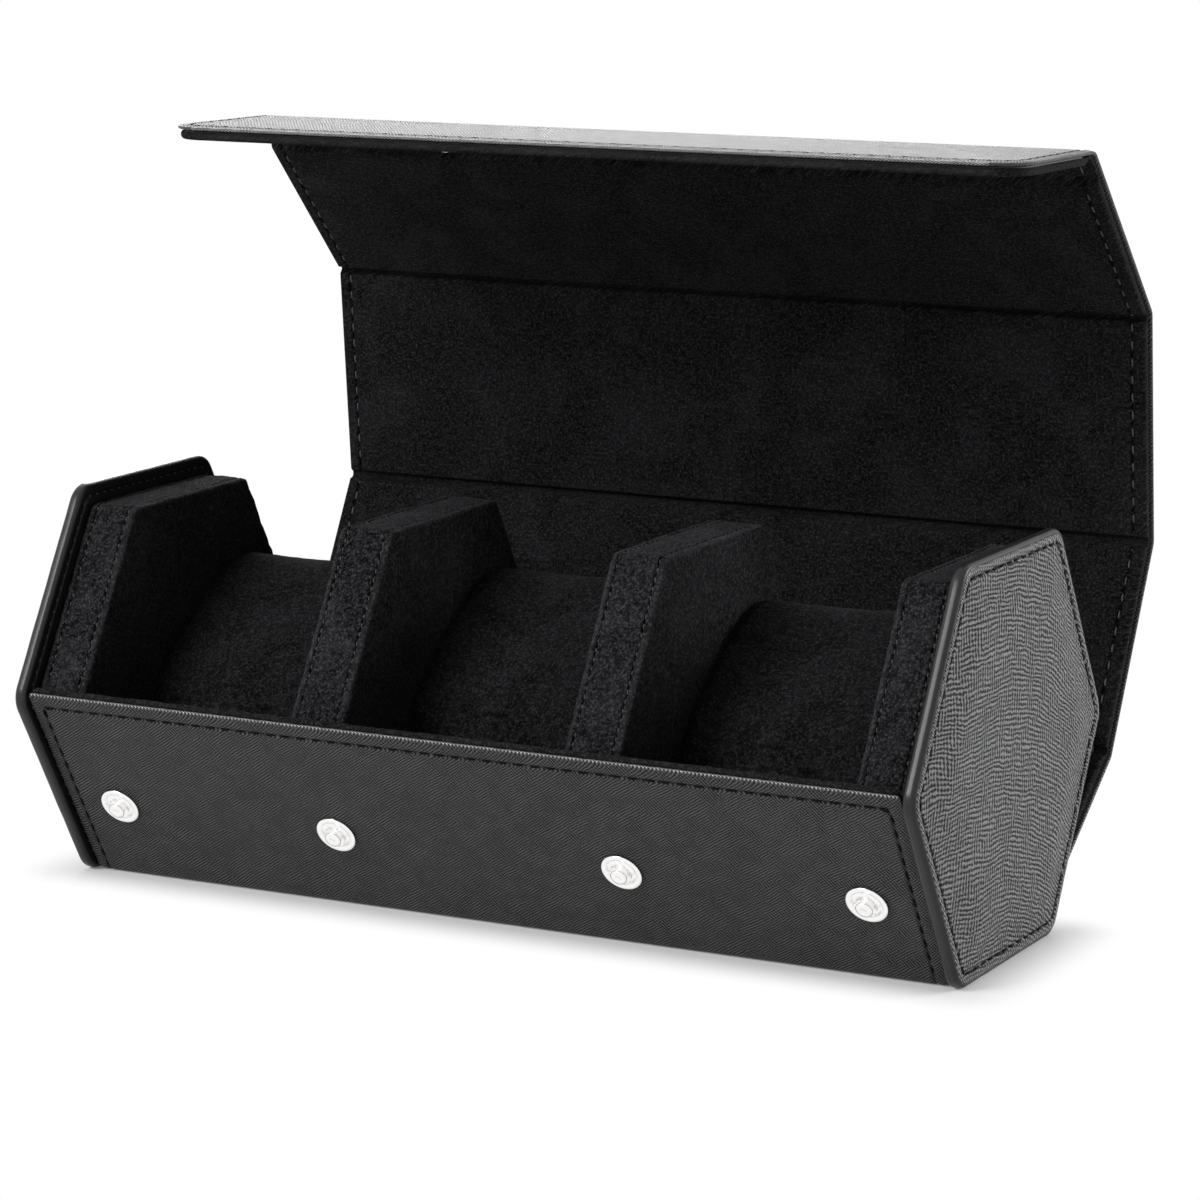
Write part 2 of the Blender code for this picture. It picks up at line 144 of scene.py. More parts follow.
COVER_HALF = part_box("cover_1_leather")[1].x
FOLDS = [joint for joint in frame["joints"] if joint["type"] == "hinge"]
FOLD_ANGLES = [radians(max(joint["range_deg"])) for joint in FOLDS]
FOLD_POINTS = [Vector(joint["pos_m"][1:]) for joint in FOLDS]
FRONT_APOTHEM = APOTHEM - FRONT_INSET

FOOT_HALF = APOTHEM * tan(pi / 6)  # half the depth of the underside
FOOT_SHADOW = 16.0 * MM  # the floor is plain white this far from the case's foot

CAMERA_LENS = 128.79
CAMERA_TURN = (radians(27.883), radians(11.049), radians(-0.115))  # yaw, pitch down, roll
CAMERA_PLACE = Vector((4.953, -9.114, 2.788))  # in heights of the hexagon

# Outward directions of the hexagon's faces, as (Y, Z)
BOTTOM = Vector((0.0, -1.0))
FRONT_LOWER = Vector((-sin(pi / 3), -cos(pi / 3)))


def direction(heading):
    """Unit vector along a heading in the (Y, Z) plane."""
    return Vector((cos(heading), sin(heading)))


def inward(heading):
    """Unit vector to the left of a heading, which is the inside of the case."""
    return Vector((-sin(heading), cos(heading)))


def rise(low, high, value):
    """Smooth step from 0 at low to 1 at high."""
    share = min(max((value - low) / (high - low), 0.0), 1.0)
    return share * share * (3 - 2 * share)


def mixed(first, second, share):
    """Between two numbers."""
    return first + (second - first) * share


def dip(offset, width):
    """A bell shape, 1 at its middle."""
    return 2.718 ** (-((offset / width) ** 2))


def rolled(distance, radius):
    """How far a rounded edge has drawn back at a distance inside the edge."""
    if distance >= radius:
        return 0.0
    left = radius - max(distance, 0.0)
    return radius - sqrt(radius * radius - left * left)


def faces_meet(face_a, apothem_a, face_b, apothem_b):
    """The (Y, Z) point where two faces of the hexagon meet, each at its own apothem."""
    turn = face_a.x * face_b.y - face_a.y * face_b.x
    y = (apothem_a * face_b.y - apothem_b * face_a.y) / turn
    z = (face_a.x * apothem_b - face_b.x * apothem_a) / turn
    return Vector((y, z + CENTRE_Z))


def front_point(apothem, down):
    """A point of the front panel: its apothem, and how far it is below the front corner."""
    along = down - APOTHEM * tan(pi / 6)
    y = FRONT_LOWER.x * apothem + cos(pi / 3) * along
    z = FRONT_LOWER.y * apothem - sin(pi / 3) * along
    return Vector((y, z + CENTRE_Z))


FRONT_TOP_DOWN = (APOTHEM * tan(pi / 6)
                  - (FRONT_TOP_RISE + FRONT_APOTHEM * cos(pi / 3)) / sin(pi / 3))


class Course:
    """A line through corner points in the (Y, Z) plane, rounded at each corner."""

    def __init__(self, points, radii):
        self.points = points
        self.radii = [0.0, *radii, 0.0]
        steps = [after - before for before, after in zip(points, points[1:])]
        self.headings = []
        self.marks = [0.0]
        heading = 0.0
        for number, step in enumerate(steps):
            angle = Vector((1.0, 0.0)).angle_signed(step) * -1
            if number:
                while angle < heading - pi / 2:
                    angle += 2 * pi
            heading = angle
            self.headings.append(heading)
            self.marks.append(self.marks[-1] + step.length)
        self.length = self.marks[-1]

    def place(self, along):
        """(point, heading) of the line at a distance along it."""
        for number in range(1, len(self.points) - 1):
            turn = self.headings[number] - self.headings[number - 1]
            radius = self.radii[number]
            reach = radius * tan(turn / 2)
            offset = along - self.marks[number]
            if abs(offset) < reach:
                share = (offset + reach) / (2 * reach)
                before = self.headings[number - 1]
                heading = before + share * turn
                start = self.points[number] - reach * direction(before)
                centre = start + radius * inward(before)
                return centre - radius * inward(heading), heading
        number = 0
        while number < len(self.headings) - 1 and along > self.marks[number + 1]:
            number += 1
        heading = self.headings[number]
        return self.points[number] + (along - self.marks[number]) * direction(heading), heading

    def at(self, x, along, lift=0.0):
        """A point in space, lifted off the line towards the inside."""
        point, heading = self.place(along)
        point = point + lift * inward(heading)
        return Vector((x, point.x, point.y))

    def up(self, along):
        """The inward direction in space."""
        side = inward(self.place(along)[1])
        return Vector((0.0, side.x, side.y))


def sheet_course():
    """The middle of the leather: front panel, underside, then the cover up to its flap's end."""
    middle = FRONT_APOTHEM - LEATHER / 2
    points = [front_point(middle, FRONT_TOP_DOWN),
              faces_meet(BOTTOM, APOTHEM - LEATHER / 2, FRONT_LOWER, middle)]
    points += FOLD_POINTS
    points.append(FOLD_POINTS[-1] + FLAP_LENGTH * direction(sum(FOLD_ANGLES)))
    return Course(points, [FOLD_RADIUS * 0.87] + [FOLD_RADIUS] * len(FOLD_POINTS))


COURSE = sheet_course()
FOLD_MARKS = COURSE.marks[2:-1]
# Where one sheet of the leather is joined to the next: in the middle of each flat run
CUTS = [0.0]
CUTS += [(before + after) / 2 for before, after in zip(COURSE.marks[1:-2], COURSE.marks[2:-1])]
CUTS.append(COURSE.length)


class RollCaseSizes(bpy.types.PropertyGroup):
    """Sizes of the seams, padding and thread."""

    stitch: FloatProperty(
        name="Stitch", description="Length of one stitch that shows on the leather",
        default=2.7 * MM, unit="LENGTH")
    stitch_gap: FloatProperty(
        name="Stitch Gap", description="Leather between two stitches",
        default=1.15 * MM, unit="LENGTH")
    thread: FloatProperty(
        name="Thread", description="Radius of the thread",
        default=0.31 * MM, unit="LENGTH")
    side_seam: FloatProperty(
        name="Side Seam", description="From the leather's cut edge to its seam",
        default=2.9 * MM, unit="LENGTH")
    top_seam: FloatProperty(
        name="Top Seam", description="From the front panel's top edge to its seam",
        default=3.6 * MM, unit="LENGTH")
    lining_seam: FloatProperty(
        name="Lining Seam", description="From the lining's side to its seam",
        default=3.3 * MM, unit="LENGTH")
    cap_seam: FloatProperty(
        name="Cap Seam", description="From the cap's outline to its seam",
        default=3.1 * MM, unit="LENGTH")
    cap_padding: FloatProperty(
        name="Cap Padding", description="How far the middle of a cap's leather swells",
        default=1.3 * MM, unit="LENGTH")
    seam_depth: FloatProperty(
        name="Seam Depth", description="How far a seam is pulled into the leather",
        default=0.34 * MM, unit="LENGTH")
    block_edge: FloatProperty(
        name="Block Edge", description="Rounding of the padded blocks' edges",
        default=1.05 * MM, unit="LENGTH")
    block_seam: FloatProperty(
        name="Block Seam", description="From a padded block's side to the seam on its rim",
        default=1.9 * MM, unit="LENGTH")
    pillow_swell: FloatProperty(
        name="Pillow Swell", description="How far a pillow's cover may swell off its seams",
        default=1.7 * MM, unit="LENGTH")


class RollCaseColours(bpy.types.PropertyGroup):
    """Colours of the materials."""

    leather: FloatVectorProperty(
        name="Leather", description="Grained leather", subtype="COLOR",
        default=(0.036, 0.036, 0.037), min=0, max=1)
    rim: FloatVectorProperty(
        name="Rim", description="Smooth leather of the caps' rims", subtype="COLOR",
        default=(0.0065, 0.0065, 0.0065), min=0, max=1)
    suede: FloatVectorProperty(
        name="Suede", description="Suede of the padding and lining", subtype="COLOR",
        default=(0.0090, 0.0090, 0.0098), min=0, max=1)
    thread: FloatVectorProperty(
        name="Thread", description="Thread of the seams", subtype="COLOR",
        default=(0.003, 0.003, 0.003), min=0, max=1)
    # Painted sheen: the same thread as on the leather, coloured paler where it crosses the suede
    suede_thread: FloatVectorProperty(
        name="Suede Thread", description="Glossier thread of the seams in the suede",
        subtype="COLOR", default=(0.050, 0.050, 0.052), min=0, max=1)
    nickel: FloatVectorProperty(
        name="Nickel", description="Plating of the press studs", subtype="COLOR",
        default=(0.95, 0.94, 0.93), min=0, max=1)
    board: FloatVectorProperty(
        name="Board", description="Stiffening board inside the sheets", subtype="COLOR",
        default=(0.30, 0.29, 0.27), min=0, max=1)
    floor: FloatVectorProperty(
        name="Floor", description="Floor under the case", subtype="COLOR",
        default=(0.90, 0.90, 0.90), min=0, max=1)


class Level:
    """A number that varies over a surface. Sums on it add Math nodes."""

    def __init__(self, finish, socket):
        self.finish = finish
        self.socket = socket

    def maths(self, operation, *values):
        sockets = dict(enumerate(values))
        node = self.finish.node("ShaderNodeMath", {"operation": operation}, sockets)
        return Level(self.finish, node.outputs[0])

    def __add__(self, other):
        return self.maths("ADD", self, other)

    __radd__ = __add__

    def __sub__(self, other):
        return self.maths("SUBTRACT", self, other)

    def __rsub__(self, other):
        return self.maths("SUBTRACT", other, self)

    def __mul__(self, other):
        return self.maths("MULTIPLY", self, other)

    __rmul__ = __mul__

    def __pow__(self, other):
        return self.maths("POWER", self, other)

    def sine(self):
        return self.maths("SINE", self)

    def size(self):
        return self.maths("ABSOLUTE", self)

    def larger(self, other):
        return self.maths("MAXIMUM", self, other)

    def smaller(self, other):
        return self.maths("MINIMUM", self, other)

    def step(self, low, high):
        """Smooth step from 0 at low to 1 at high."""
        settings = {"interpolation_type": "SMOOTHSTEP"}
        sockets = {"Value": self, "From Min": low, "From Max": high}
        node = self.finish.node("ShaderNodeMapRange", settings, sockets)
        return Level(self.finish, node.outputs[0])


class Nodes:
    """The nodes of a material or the world, all added by one method."""

    def __init__(self, tree):
        self.tree = tree

    def node(self, kind, settings=None, sockets=None):
        """Add a node: its type, its settings, then the values or links of its sockets."""
        node = self.tree.nodes.new(kind)
        for key, value in (settings or {}).items():
            setattr(node, key, value)
        for key, value in (sockets or {}).items():
            self.plug(node.inputs[key], value)
        return node

    def plug(self, socket, value):
        if isinstance(value, Level):
            value = value.socket
        if isinstance(value, bpy.types.NodeSocket):
            self.tree.links.new(value, socket)
        else:
            socket.default_value = value


class Finish(Nodes):
    """A material with one main shader."""

    def __init__(self, name):
        self.material = bpy.data.materials.new(name)
        self.material.use_nodes = True
        super().__init__(self.material.node_tree)
        self.shader = self.tree.nodes["Principled BSDF"]

    def on_shader(self, **values):
        """Set the shader's own sockets. Underscores stand for spaces."""
        for key, value in values.items():
            self.plug(self.shader.inputs[key.replace("_", " ")], value)

    def place(self, lay=False):
        """Where a point is on the piece: on its flat cut if it has one, or in space."""
        if lay:
            return self.node("ShaderNodeUVMap", {"uv_map": "lay"}).outputs["UV"]
        return self.node("ShaderNodeTexCoord").outputs["Object"]

    def parts(self, vector):
        node = self.node("ShaderNodeSeparateXYZ", None, {0: vector})
        return [Level(self, output) for output in node.outputs]

    def noise(self, vector, size, detail=2.0, roughness=0.5, distortion=0.0):
        """Cloudy variation from 0 to 1, with patches of a size in metres."""
        sockets = {"Vector": vector, "Scale": 1 / size, "Detail": detail,
                   "Roughness": roughness, "Distortion": distortion}
        node = self.node("ShaderNodeTexNoise", None, sockets)
        return Level(self, node.outputs[0])

    def cells(self, vector, size):
        """Distance from the nearest of scattered points, in cells of a size in metres."""
        sockets = {"Vector": vector, "Scale": 1 / size}
        node = self.node("ShaderNodeTexVoronoi", None, sockets)
        return Level(self, node.outputs["Distance"])

    def stretched(self, vector, scale, angle=0.0):
        """The vector turned about its Z and stretched."""
        turned = self.node("ShaderNodeVectorRotate", {"rotation_type": "Z_AXIS"},
                           {"Vector": vector, "Angle": angle})
        node = self.node("ShaderNodeVectorMath", {"operation": "MULTIPLY"},
                         {0: turned.outputs[0], 1: scale})
        return node.outputs[0]

    def colour(self, share, first, second):
        """Between two colours."""
        return self.blend(share, (*first, 1.0), (*second, 1.0))

    def blend(self, share, first, second):
        """Between two nodes' colours, or two colours that have their alpha."""
        sockets = {0: share, 6: first, 7: second}
        return self.node("ShaderNodeMix", {"data_type": "RGBA"}, sockets).outputs[2]

    def bump(self, height, depth, under=None):
        """A normal from a height of 0 to 1 that stands for a depth in metres."""
        sockets = {"Height": height, "Distance": depth, "Strength": 1.0}
        if under:
            sockets["Normal"] = under
        return self.node("ShaderNodeBump", None, sockets).outputs[0]

    def mark(self, name):
        """What a mesh carries: "worn" is 1 at edge wear, painted highlight; "seam" is 1 in seams,
        painted shade.
        """
        node = self.node("ShaderNodeAttribute", {"attribute_name": name})
        return Level(self, node.outputs["Fac"])


finishes = {}


def finish_once(name, maker):
    """Make a material the first time that it is asked for."""
    if name not in finishes:
        finishes[name] = maker(name)
    return finishes[name]


def shade(colour, factor):
    """A colour made lighter or darker."""
    return tuple(min(part * factor, 1.0) for part in colour)


def crossed_grain(finish, vector, grain):
    """Height of a pressed cross grain, 0 to 1: wavy ridges with others across them."""
    u, v, _ = finish.parts(finish.stretched(vector, (1.0, 1.0, 1.0), grain.angle))
    back = (u + 12 * MM).larger(0.0)
    sweep = finish.noise(vector, 24 * MM, 1.0) - 0.5
    sway = finish.noise(vector, 5.5 * MM, 2.0) - 0.5
    shiver = finish.noise(vector, 1.1 * MM, 2.0) - 0.5
    drift = sweep * (grain.waver * 3.5) + sway * grain.waver
    place = v + back * back * grain.fall + drift + shiver * (grain.pitch * 0.8)
    ridges = ((place * (2 * pi / grain.pitch)).sine() * 0.5 + 0.5) ** 0.8
    place = u - drift * 0.7 + shiver * (grain.pitch * 0.9)
    across = ((place * (2 * pi / grain.cross_pitch)).sine() * 0.5 + 0.5) ** 1.2
    patches = finish.noise(vector, 4.0 * MM, 3.0).step(0.36, 0.64)
    return ridges * (patches * 0.5 + 0.3) + across * (0.62 - patches * 0.46)


def make_leather(name, lay, grain):
    """Pressed-grain leather, glossy at its edge wear; painted highlights on ridges and edges,
    painted shade in hollows.
    """
    colour = bpy.context.scene.roll_case_colours.leather
    finish = Finish(name)
    vector = finish.place(lay)
    if not lay:  # a cap's face lies across X
        _, y, z = finish.parts(vector)
        vector = finish.node("ShaderNodeCombineXYZ", None, {0: y, 1: z}).outputs[0]
    u, v, _ = finish.parts(vector)
    height = crossed_grain(finish, vector, grain)
    pores = finish.noise(vector, 0.2 * MM, 2.0)
    clouds = finish.noise(vector, 14 * MM, 3.0)
    worn = finish.mark("worn")
    seam = finish.mark("seam")
    # Painted light: raised ridges are coloured paler as painted highlight, valleys darker as
    # painted shade
    raised = height.step(0.2, 0.8)
    beads = ((u + v) * (2 * pi / BEAD_PITCH)).sine().step(-0.2, 0.9)
    # Painted shade: seam grooves are coloured darker
    tone = raised * grain.contrast + (clouds - 0.5) * 0.25 + (pores - 0.5) * 0.3 - seam * 0.25
    tone = tone.larger(0.0).smaller(1.0)
    plain = finish.colour(tone, shade(colour, 0.06), shade(colour, grain.pale))
    # Painted highlight: pale beads along the edge wear; the coat and lower roughness there are real
    # gloss
    painted_bead_glints = finish.colour(worn * beads * 0.9, shade(colour, 1.0), PAINTED_BEAD_GLINT)
    finish.on_shader(
        Base_Color=finish.blend((worn * 1.2).smaller(1.0), plain, painted_bead_glints),
        Roughness=0.50 - raised * 0.14 - worn * 0.12 + clouds * 0.06,
        Specular_IOR_Level=0.14,
        Coat_Weight=worn * (beads * 0.7 + 0.15),
        Coat_Roughness=0.16,
        Normal=finish.bump(height + pores * 0.16 + worn * beads * 0.6, grain.depth))
    return finish.material


def sheet_leather():
    return finish_once("grained_leather_sheet", lambda name: make_leather(name, True, SHEET_GRAIN))


def cap_leather():
    return finish_once("grained_leather_cap", lambda name: make_leather(name, False, CAP_GRAIN))


def make_rim_leather(name):
    colour = bpy.context.scene.roll_case_colours.rim
    finish = Finish(name)
    vector = finish.place()
    creases = finish.noise(vector, 1.6 * MM, 4.0, 0.6, 0.6)
    clouds = finish.noise(vector, 9 * MM, 2.0)
    pores = finish.cells(vector, 0.35 * MM)
    worn = finish.mark("worn")
    # Painted highlight: the rim's outer edge is coloured paler, a line of light painted along it;
    # the coat there is real gloss
    tone = (clouds * 0.5 + creases * 0.3 + worn * 0.6).smaller(1.0)
    finish.on_shader(
        Base_Color=finish.colour(tone, shade(colour, 0.4), shade(colour, 2.6)),
        Roughness=0.34 + creases * 0.18 - worn * 0.06,
        Specular_IOR_Level=0.16,
        Coat_Weight=worn * 0.3,
        Coat_Roughness=0.22,
        Normal=finish.bump(creases * 0.8 + pores * 0.35, 0.07 * MM))
    return finish.material


def rim_leather():
    return finish_once("burnished_rim", make_rim_leather)


def make_suede(name, lay):
    colour = bpy.context.scene.roll_case_colours.suede
    finish = Finish(name)
    vector = finish.place(lay)
    brushed = finish.noise(vector, 17 * MM, 3.0, 0.6, 0.8)
    tufts = finish.noise(vector, 1.5 * MM, 3.0, 0.6)
    nap = finish.noise(vector, 0.62 * MM, 3.0, 0.75)
    specks = finish.cells(vector, 1.9 * MM)
    worn = finish.mark("worn")
    seam = finish.mark("seam")
    band = finish.mark("band")
    fleck = nap.step(0.46, 0.68)
    tone = brushed.step(0.35, 0.72) * 0.12 + tufts.step(0.35, 0.7) * 0.14 + fleck * 0.5
    # Painted light: a block's rim (band) is painted paler than its sides; seams and creases get
    # painted shade
    tone = tone * (band * 0.75 + 1.0) + worn * 0.2 - seam * 0.22
    tone = tone + (0.12 - specks).larger(0.0) * 6
    finish.on_shader(
        Base_Color=finish.colour(tone.smaller(1.0).larger(0.0), shade(colour, 0.10),
                                 shade(colour, 6.4)),
        Roughness=0.98 - fleck * 0.12,
        Specular_IOR_Level=0.05,
        Sheen_Weight=0.02,
        Sheen_Roughness=0.5,
        Sheen_Tint=(0.8, 0.82, 0.86, 1.0),
        Normal=finish.bump(nap * 0.8 + tufts * 0.5, 0.62 * MM))
    return finish.material


def suede(lay=False):
    if lay:
        return finish_once("suede_lining", lambda name: make_suede(name, True))
    return finish_once("suede_padding", lambda name: make_suede(name, False))


def make_thread(name, colour, gloss):
    finish = Finish(name)
    vector = finish.place()
    plies = finish.noise(vector, 0.25 * MM, 2.0)
    tone = finish.noise(vector, 3 * MM, 2.0)
    finish.on_shader(
        Base_Color=finish.colour(tone, shade(colour, 0.6), shade(colour, 2.2)),
        Roughness=0.40 + plies * 0.2,
        Specular_IOR_Level=gloss,
        Normal=finish.bump(plies, 0.08 * MM))
    return finish.material


def thread(on_suede=False):
    colours = bpy.context.scene.roll_case_colours
    # Painted sheen: the thread in the suede takes the paler colour
    if on_suede:
        return finish_once("suede_thread", lambda name: make_thread(
            name, colours.suede_thread, 0.25))
    return finish_once("leather_thread", lambda name: make_thread(name, colours.thread, 0.04))


def make_nickel(name):
    colour = bpy.context.scene.roll_case_colours.nickel
    finish = Finish(name)
    vector = finish.place()
    wear = finish.noise(vector, 1.4 * MM, 3.0)
    scratches = finish.noise(finish.stretched(vector, (1.0, 6.0, 1.0), radians(25)), 0.5 * MM, 2.0)
    finish.on_shader(
        Base_Color=finish.colour(wear, shade(colour, 0.92), shade(colour, 1.06)),
        Roughness=0.10 + wear * 0.08 + scratches * 0.06,
        Metallic=1.0,
        Normal=finish.bump(scratches, 0.012 * MM))
    return finish.material


def nickel():
    return finish_once("nickel_plate", make_nickel)


def make_board(name):
    colour = bpy.context.scene.roll_case_colours.board
    finish = Finish(name)
    vector = finish.place()
    pulp = finish.noise(finish.stretched(vector, (1.0, 3.0, 3.0)), 1.2 * MM, 4.0, 0.65)
    specks = finish.noise(vector, 0.6 * MM, 2.0).step(0.62, 0.75)
    tone = pulp - specks * 0.4
    finish.on_shader(
        Base_Color=finish.colour(tone.larger(0.0), shade(colour, 0.7), shade(colour, 1.15)),
        Roughness=0.85 + pulp * 0.12,
        Normal=finish.bump(pulp, 0.10 * MM))
    return finish.material


def grey_board():
    return finish_once("pulp_board", make_board)


def make_piece(name, points, faces, finish, lay=None, marks=None):
    """A smooth mesh from points and faces, with its outward faces found."""
    mesh = bpy.data.meshes.new(name)
    mesh.from_pydata(points, [], faces)
    if lay:
        layer = mesh.uv_layers.new(name="lay")
        flat = [part for loop in mesh.loops for part in lay[loop.vertex_index]]
        layer.data.foreach_set("uv", flat)
    for word, values in (marks or {}).items():
        mesh.attributes.new(word, "FLOAT", "POINT").data.foreach_set("value", values)
    builder = bmesh.new()
    builder.from_mesh(mesh)
    bmesh.ops.remove_doubles(builder, verts=builder.verts, dist=WELD)
    bmesh.ops.recalc_face_normals(builder, faces=builder.faces)
    builder.to_mesh(mesh)
    builder.free()
    mesh.shade_smooth()
    mesh.set_sharp_from_angle(angle=radians(65))
    mesh.materials.append(finish)
    piece = bpy.data.objects.new(name, mesh)
    bpy.context.scene.collection.objects.link(piece)
    return piece


def ring_faces(rings, count, shut_first=True, shut_last=True):
    """Faces that join rings of points, each ring a closed loop of one count."""
    faces = []
    for ring in range(rings - 1):
        here = ring * count
        there = here + count
        for i in range(count):
            j = (i + 1) % count
            faces.append((here + i, here + j, there + j, there + i))
    if shut_first:
        faces.append(tuple(range(count)))
    if shut_last:
        faces.append(tuple(range((rings - 1) * count, rings * count)))
    return faces


def swell(piece, amount_at):
    """Move each point along its normal by an amount that depends on where it is."""
    mesh = piece.data
    places = [vertex.co + vertex.normal * amount_at(vertex.co) for vertex in mesh.vertices]
    mesh.vertices.foreach_set("co", [part for place in places for part in place])
    mesh.update()


def ruffle(piece, *waves):
    """Uneven a surface by waves of (size, depth), so that none of it is dead flat."""
    swell(piece, lambda at: sum(depth * noise.noise(at / size) for size, depth in waves))


def hexagon_line(apothem, corner, flat_points=26, corner_points=8):
    """A hexagon with rounded corners, standing on a flat, as many (Y, Z) points."""
    reach = (apothem - corner) / cos(pi / 6)
    centres = [reach * direction(number * pi / 3) for number in range(6)]
    points = []
    for number, centre in enumerate(centres):
        for step in range(corner_points):
            angle = number * pi / 3 + (step / (corner_points - 1) - 0.5) * pi / 3
            points.append(centre + corner * direction(angle))
        leaving = number * pi / 3 + pi / 6
        start = centre + corner * direction(leaving)
        end = centres[(number + 1) % 6] + corner * direction(leaving)
        for step in range(1, flat_points):
            points.append(start.lerp(end, step / flat_points))
    return [point + Vector((0.0, CENTRE_Z)) for point in points]


def hexagon_loft(name, profile, corner, finish, slot, hollow=False, **marks):
    """A solid or a hollow ring on a hexagon: profile is (inset from the outline, X) pairs."""
    apothem, radius = corner
    points = []
    carried = {word: [] for word in marks}
    for inset, x in profile:
        line = hexagon_line(apothem - inset, max(radius - inset, 0.5 * MM))
        points += [(x, point.x, point.y) for point in line]
        for word, amount_at in marks.items():
            carried[word] += [amount_at(inset, x)] * len(line)
    count = len(points) // len(profile)
    faces = ring_faces(len(profile), count, not hollow, not hollow)
    if hollow:
        last = (len(profile) - 1) * count
        faces += [(i, (i + 1) % count, last + (i + 1) % count, last + i) for i in range(count)]
    return make_piece(name, points, faces, finish, marks=carried)


def add_stitch(points, faces, start, end, up, radius):
    """One stitch: thread that rises from its hole and dives into the next."""
    across = (end - start).cross(up).normalized()
    first = len(points)
    rings = 6
    sides = 6
    for ring in range(rings):
        share = ring / (rings - 1)
        arch = sin(pi * share) ** 0.5 if 0 < share < 1 else 0.0
        centre = start.lerp(end, share) + up * radius * (arch * 1.5 - 0.8)
        thick = radius * (0.6 + 0.4 * arch)
        for side in range(sides):
            angle = 2 * pi * side / sides
            points.append(centre + (across * cos(angle) + up * sin(angle) * 0.85) * thick)
    faces += [tuple(first + i for i in face) for face in ring_faces(rings, sides)]


def walk(line, closed, length, gap):
    """Stitches along a line of (point, up, mark): yields (start, end, up, mark) of each."""
    if closed:
        line = [*line, line[0]]
    marks = [0.0]
    for before, after in zip(line, line[1:]):
        marks.append(marks[-1] + (after[0] - before[0]).length)
    count = max(int(marks[-1] / (length + gap)), 1)
    pitch = marks[-1] / count
    length = pitch - gap
    index = 0

    def at(distance, index):
        while index < len(marks) - 2 and marks[index + 1] < distance:
            index += 1
        share = (distance - marks[index]) / max(marks[index + 1] - marks[index], 1e-9)
        (a, up_a, mark_a), (b, up_b, mark_b) = line[index], line[index + 1]
        return a.lerp(b, share), up_a.lerp(up_b, share), mixed(mark_a, mark_b, share), index

    for number in range(count):
        start, up, mark, index = at(number * pitch + gap / 2, index)
        end = at(number * pitch + gap / 2 + length, index)[0]
        yield number, start, end, up.normalized(), mark


def sew(name, lines, length, gap, radius, slant=0.0, keep=None, on_suede=False):
    """A run of stitches as one piece. Each line is (points, whether it is closed)."""
    points = []
    faces = []
    for line, closed in lines:
        for number, start, end, up, mark in walk(line, closed, length, gap):
            if keep and not keep[0] <= mark < keep[1]:
                continue
            aside = (end - start).cross(up).normalized()
            wander = 0.05 * MM * noise.noise(Vector((number * 0.7, length * 900, 0.0)))
            start = start + aside * (slant + wander)
            end = end - aside * (slant - wander)
            add_stitch(points, faces, start, end, up, radius)
    return make_piece(name, points, faces, thread(on_suede))


def cap_profile_outside(sizes):
    """A cap's leather from its middle to the rim: (inset, how proud of the cap's side)."""
    profile = []
    for inset in (44.0, 40.0, 34.0, 28.0, 23.0, 18.0, 14.0, 11.0, 9.0, 7.5, 6.4, 5.6, 5.0, 4.5,
                  4.1, 3.8, 3.55, 3.35, 3.2, 3.1, 3.0, 2.85, 2.7, 2.5, 2.25, 2.0, 1.75, 1.5,
                  1.3, 1.1, 0.95, 0.85):
        inset *= MM
        proud = sizes.cap_padding * rise(3.4 * MM, 15 * MM, inset)
        proud -= sizes.seam_depth * 1.4 * dip(inset - sizes.cap_seam, 0.38 * MM)
        proud += 0.12 * MM * dip(inset - 1.9 * MM, 0.8 * MM)
        proud -= 0.35 * MM * (1 - rise(0.8 * MM, 1.25 * MM, inset))
        profile.append((inset, proud))
    return profile


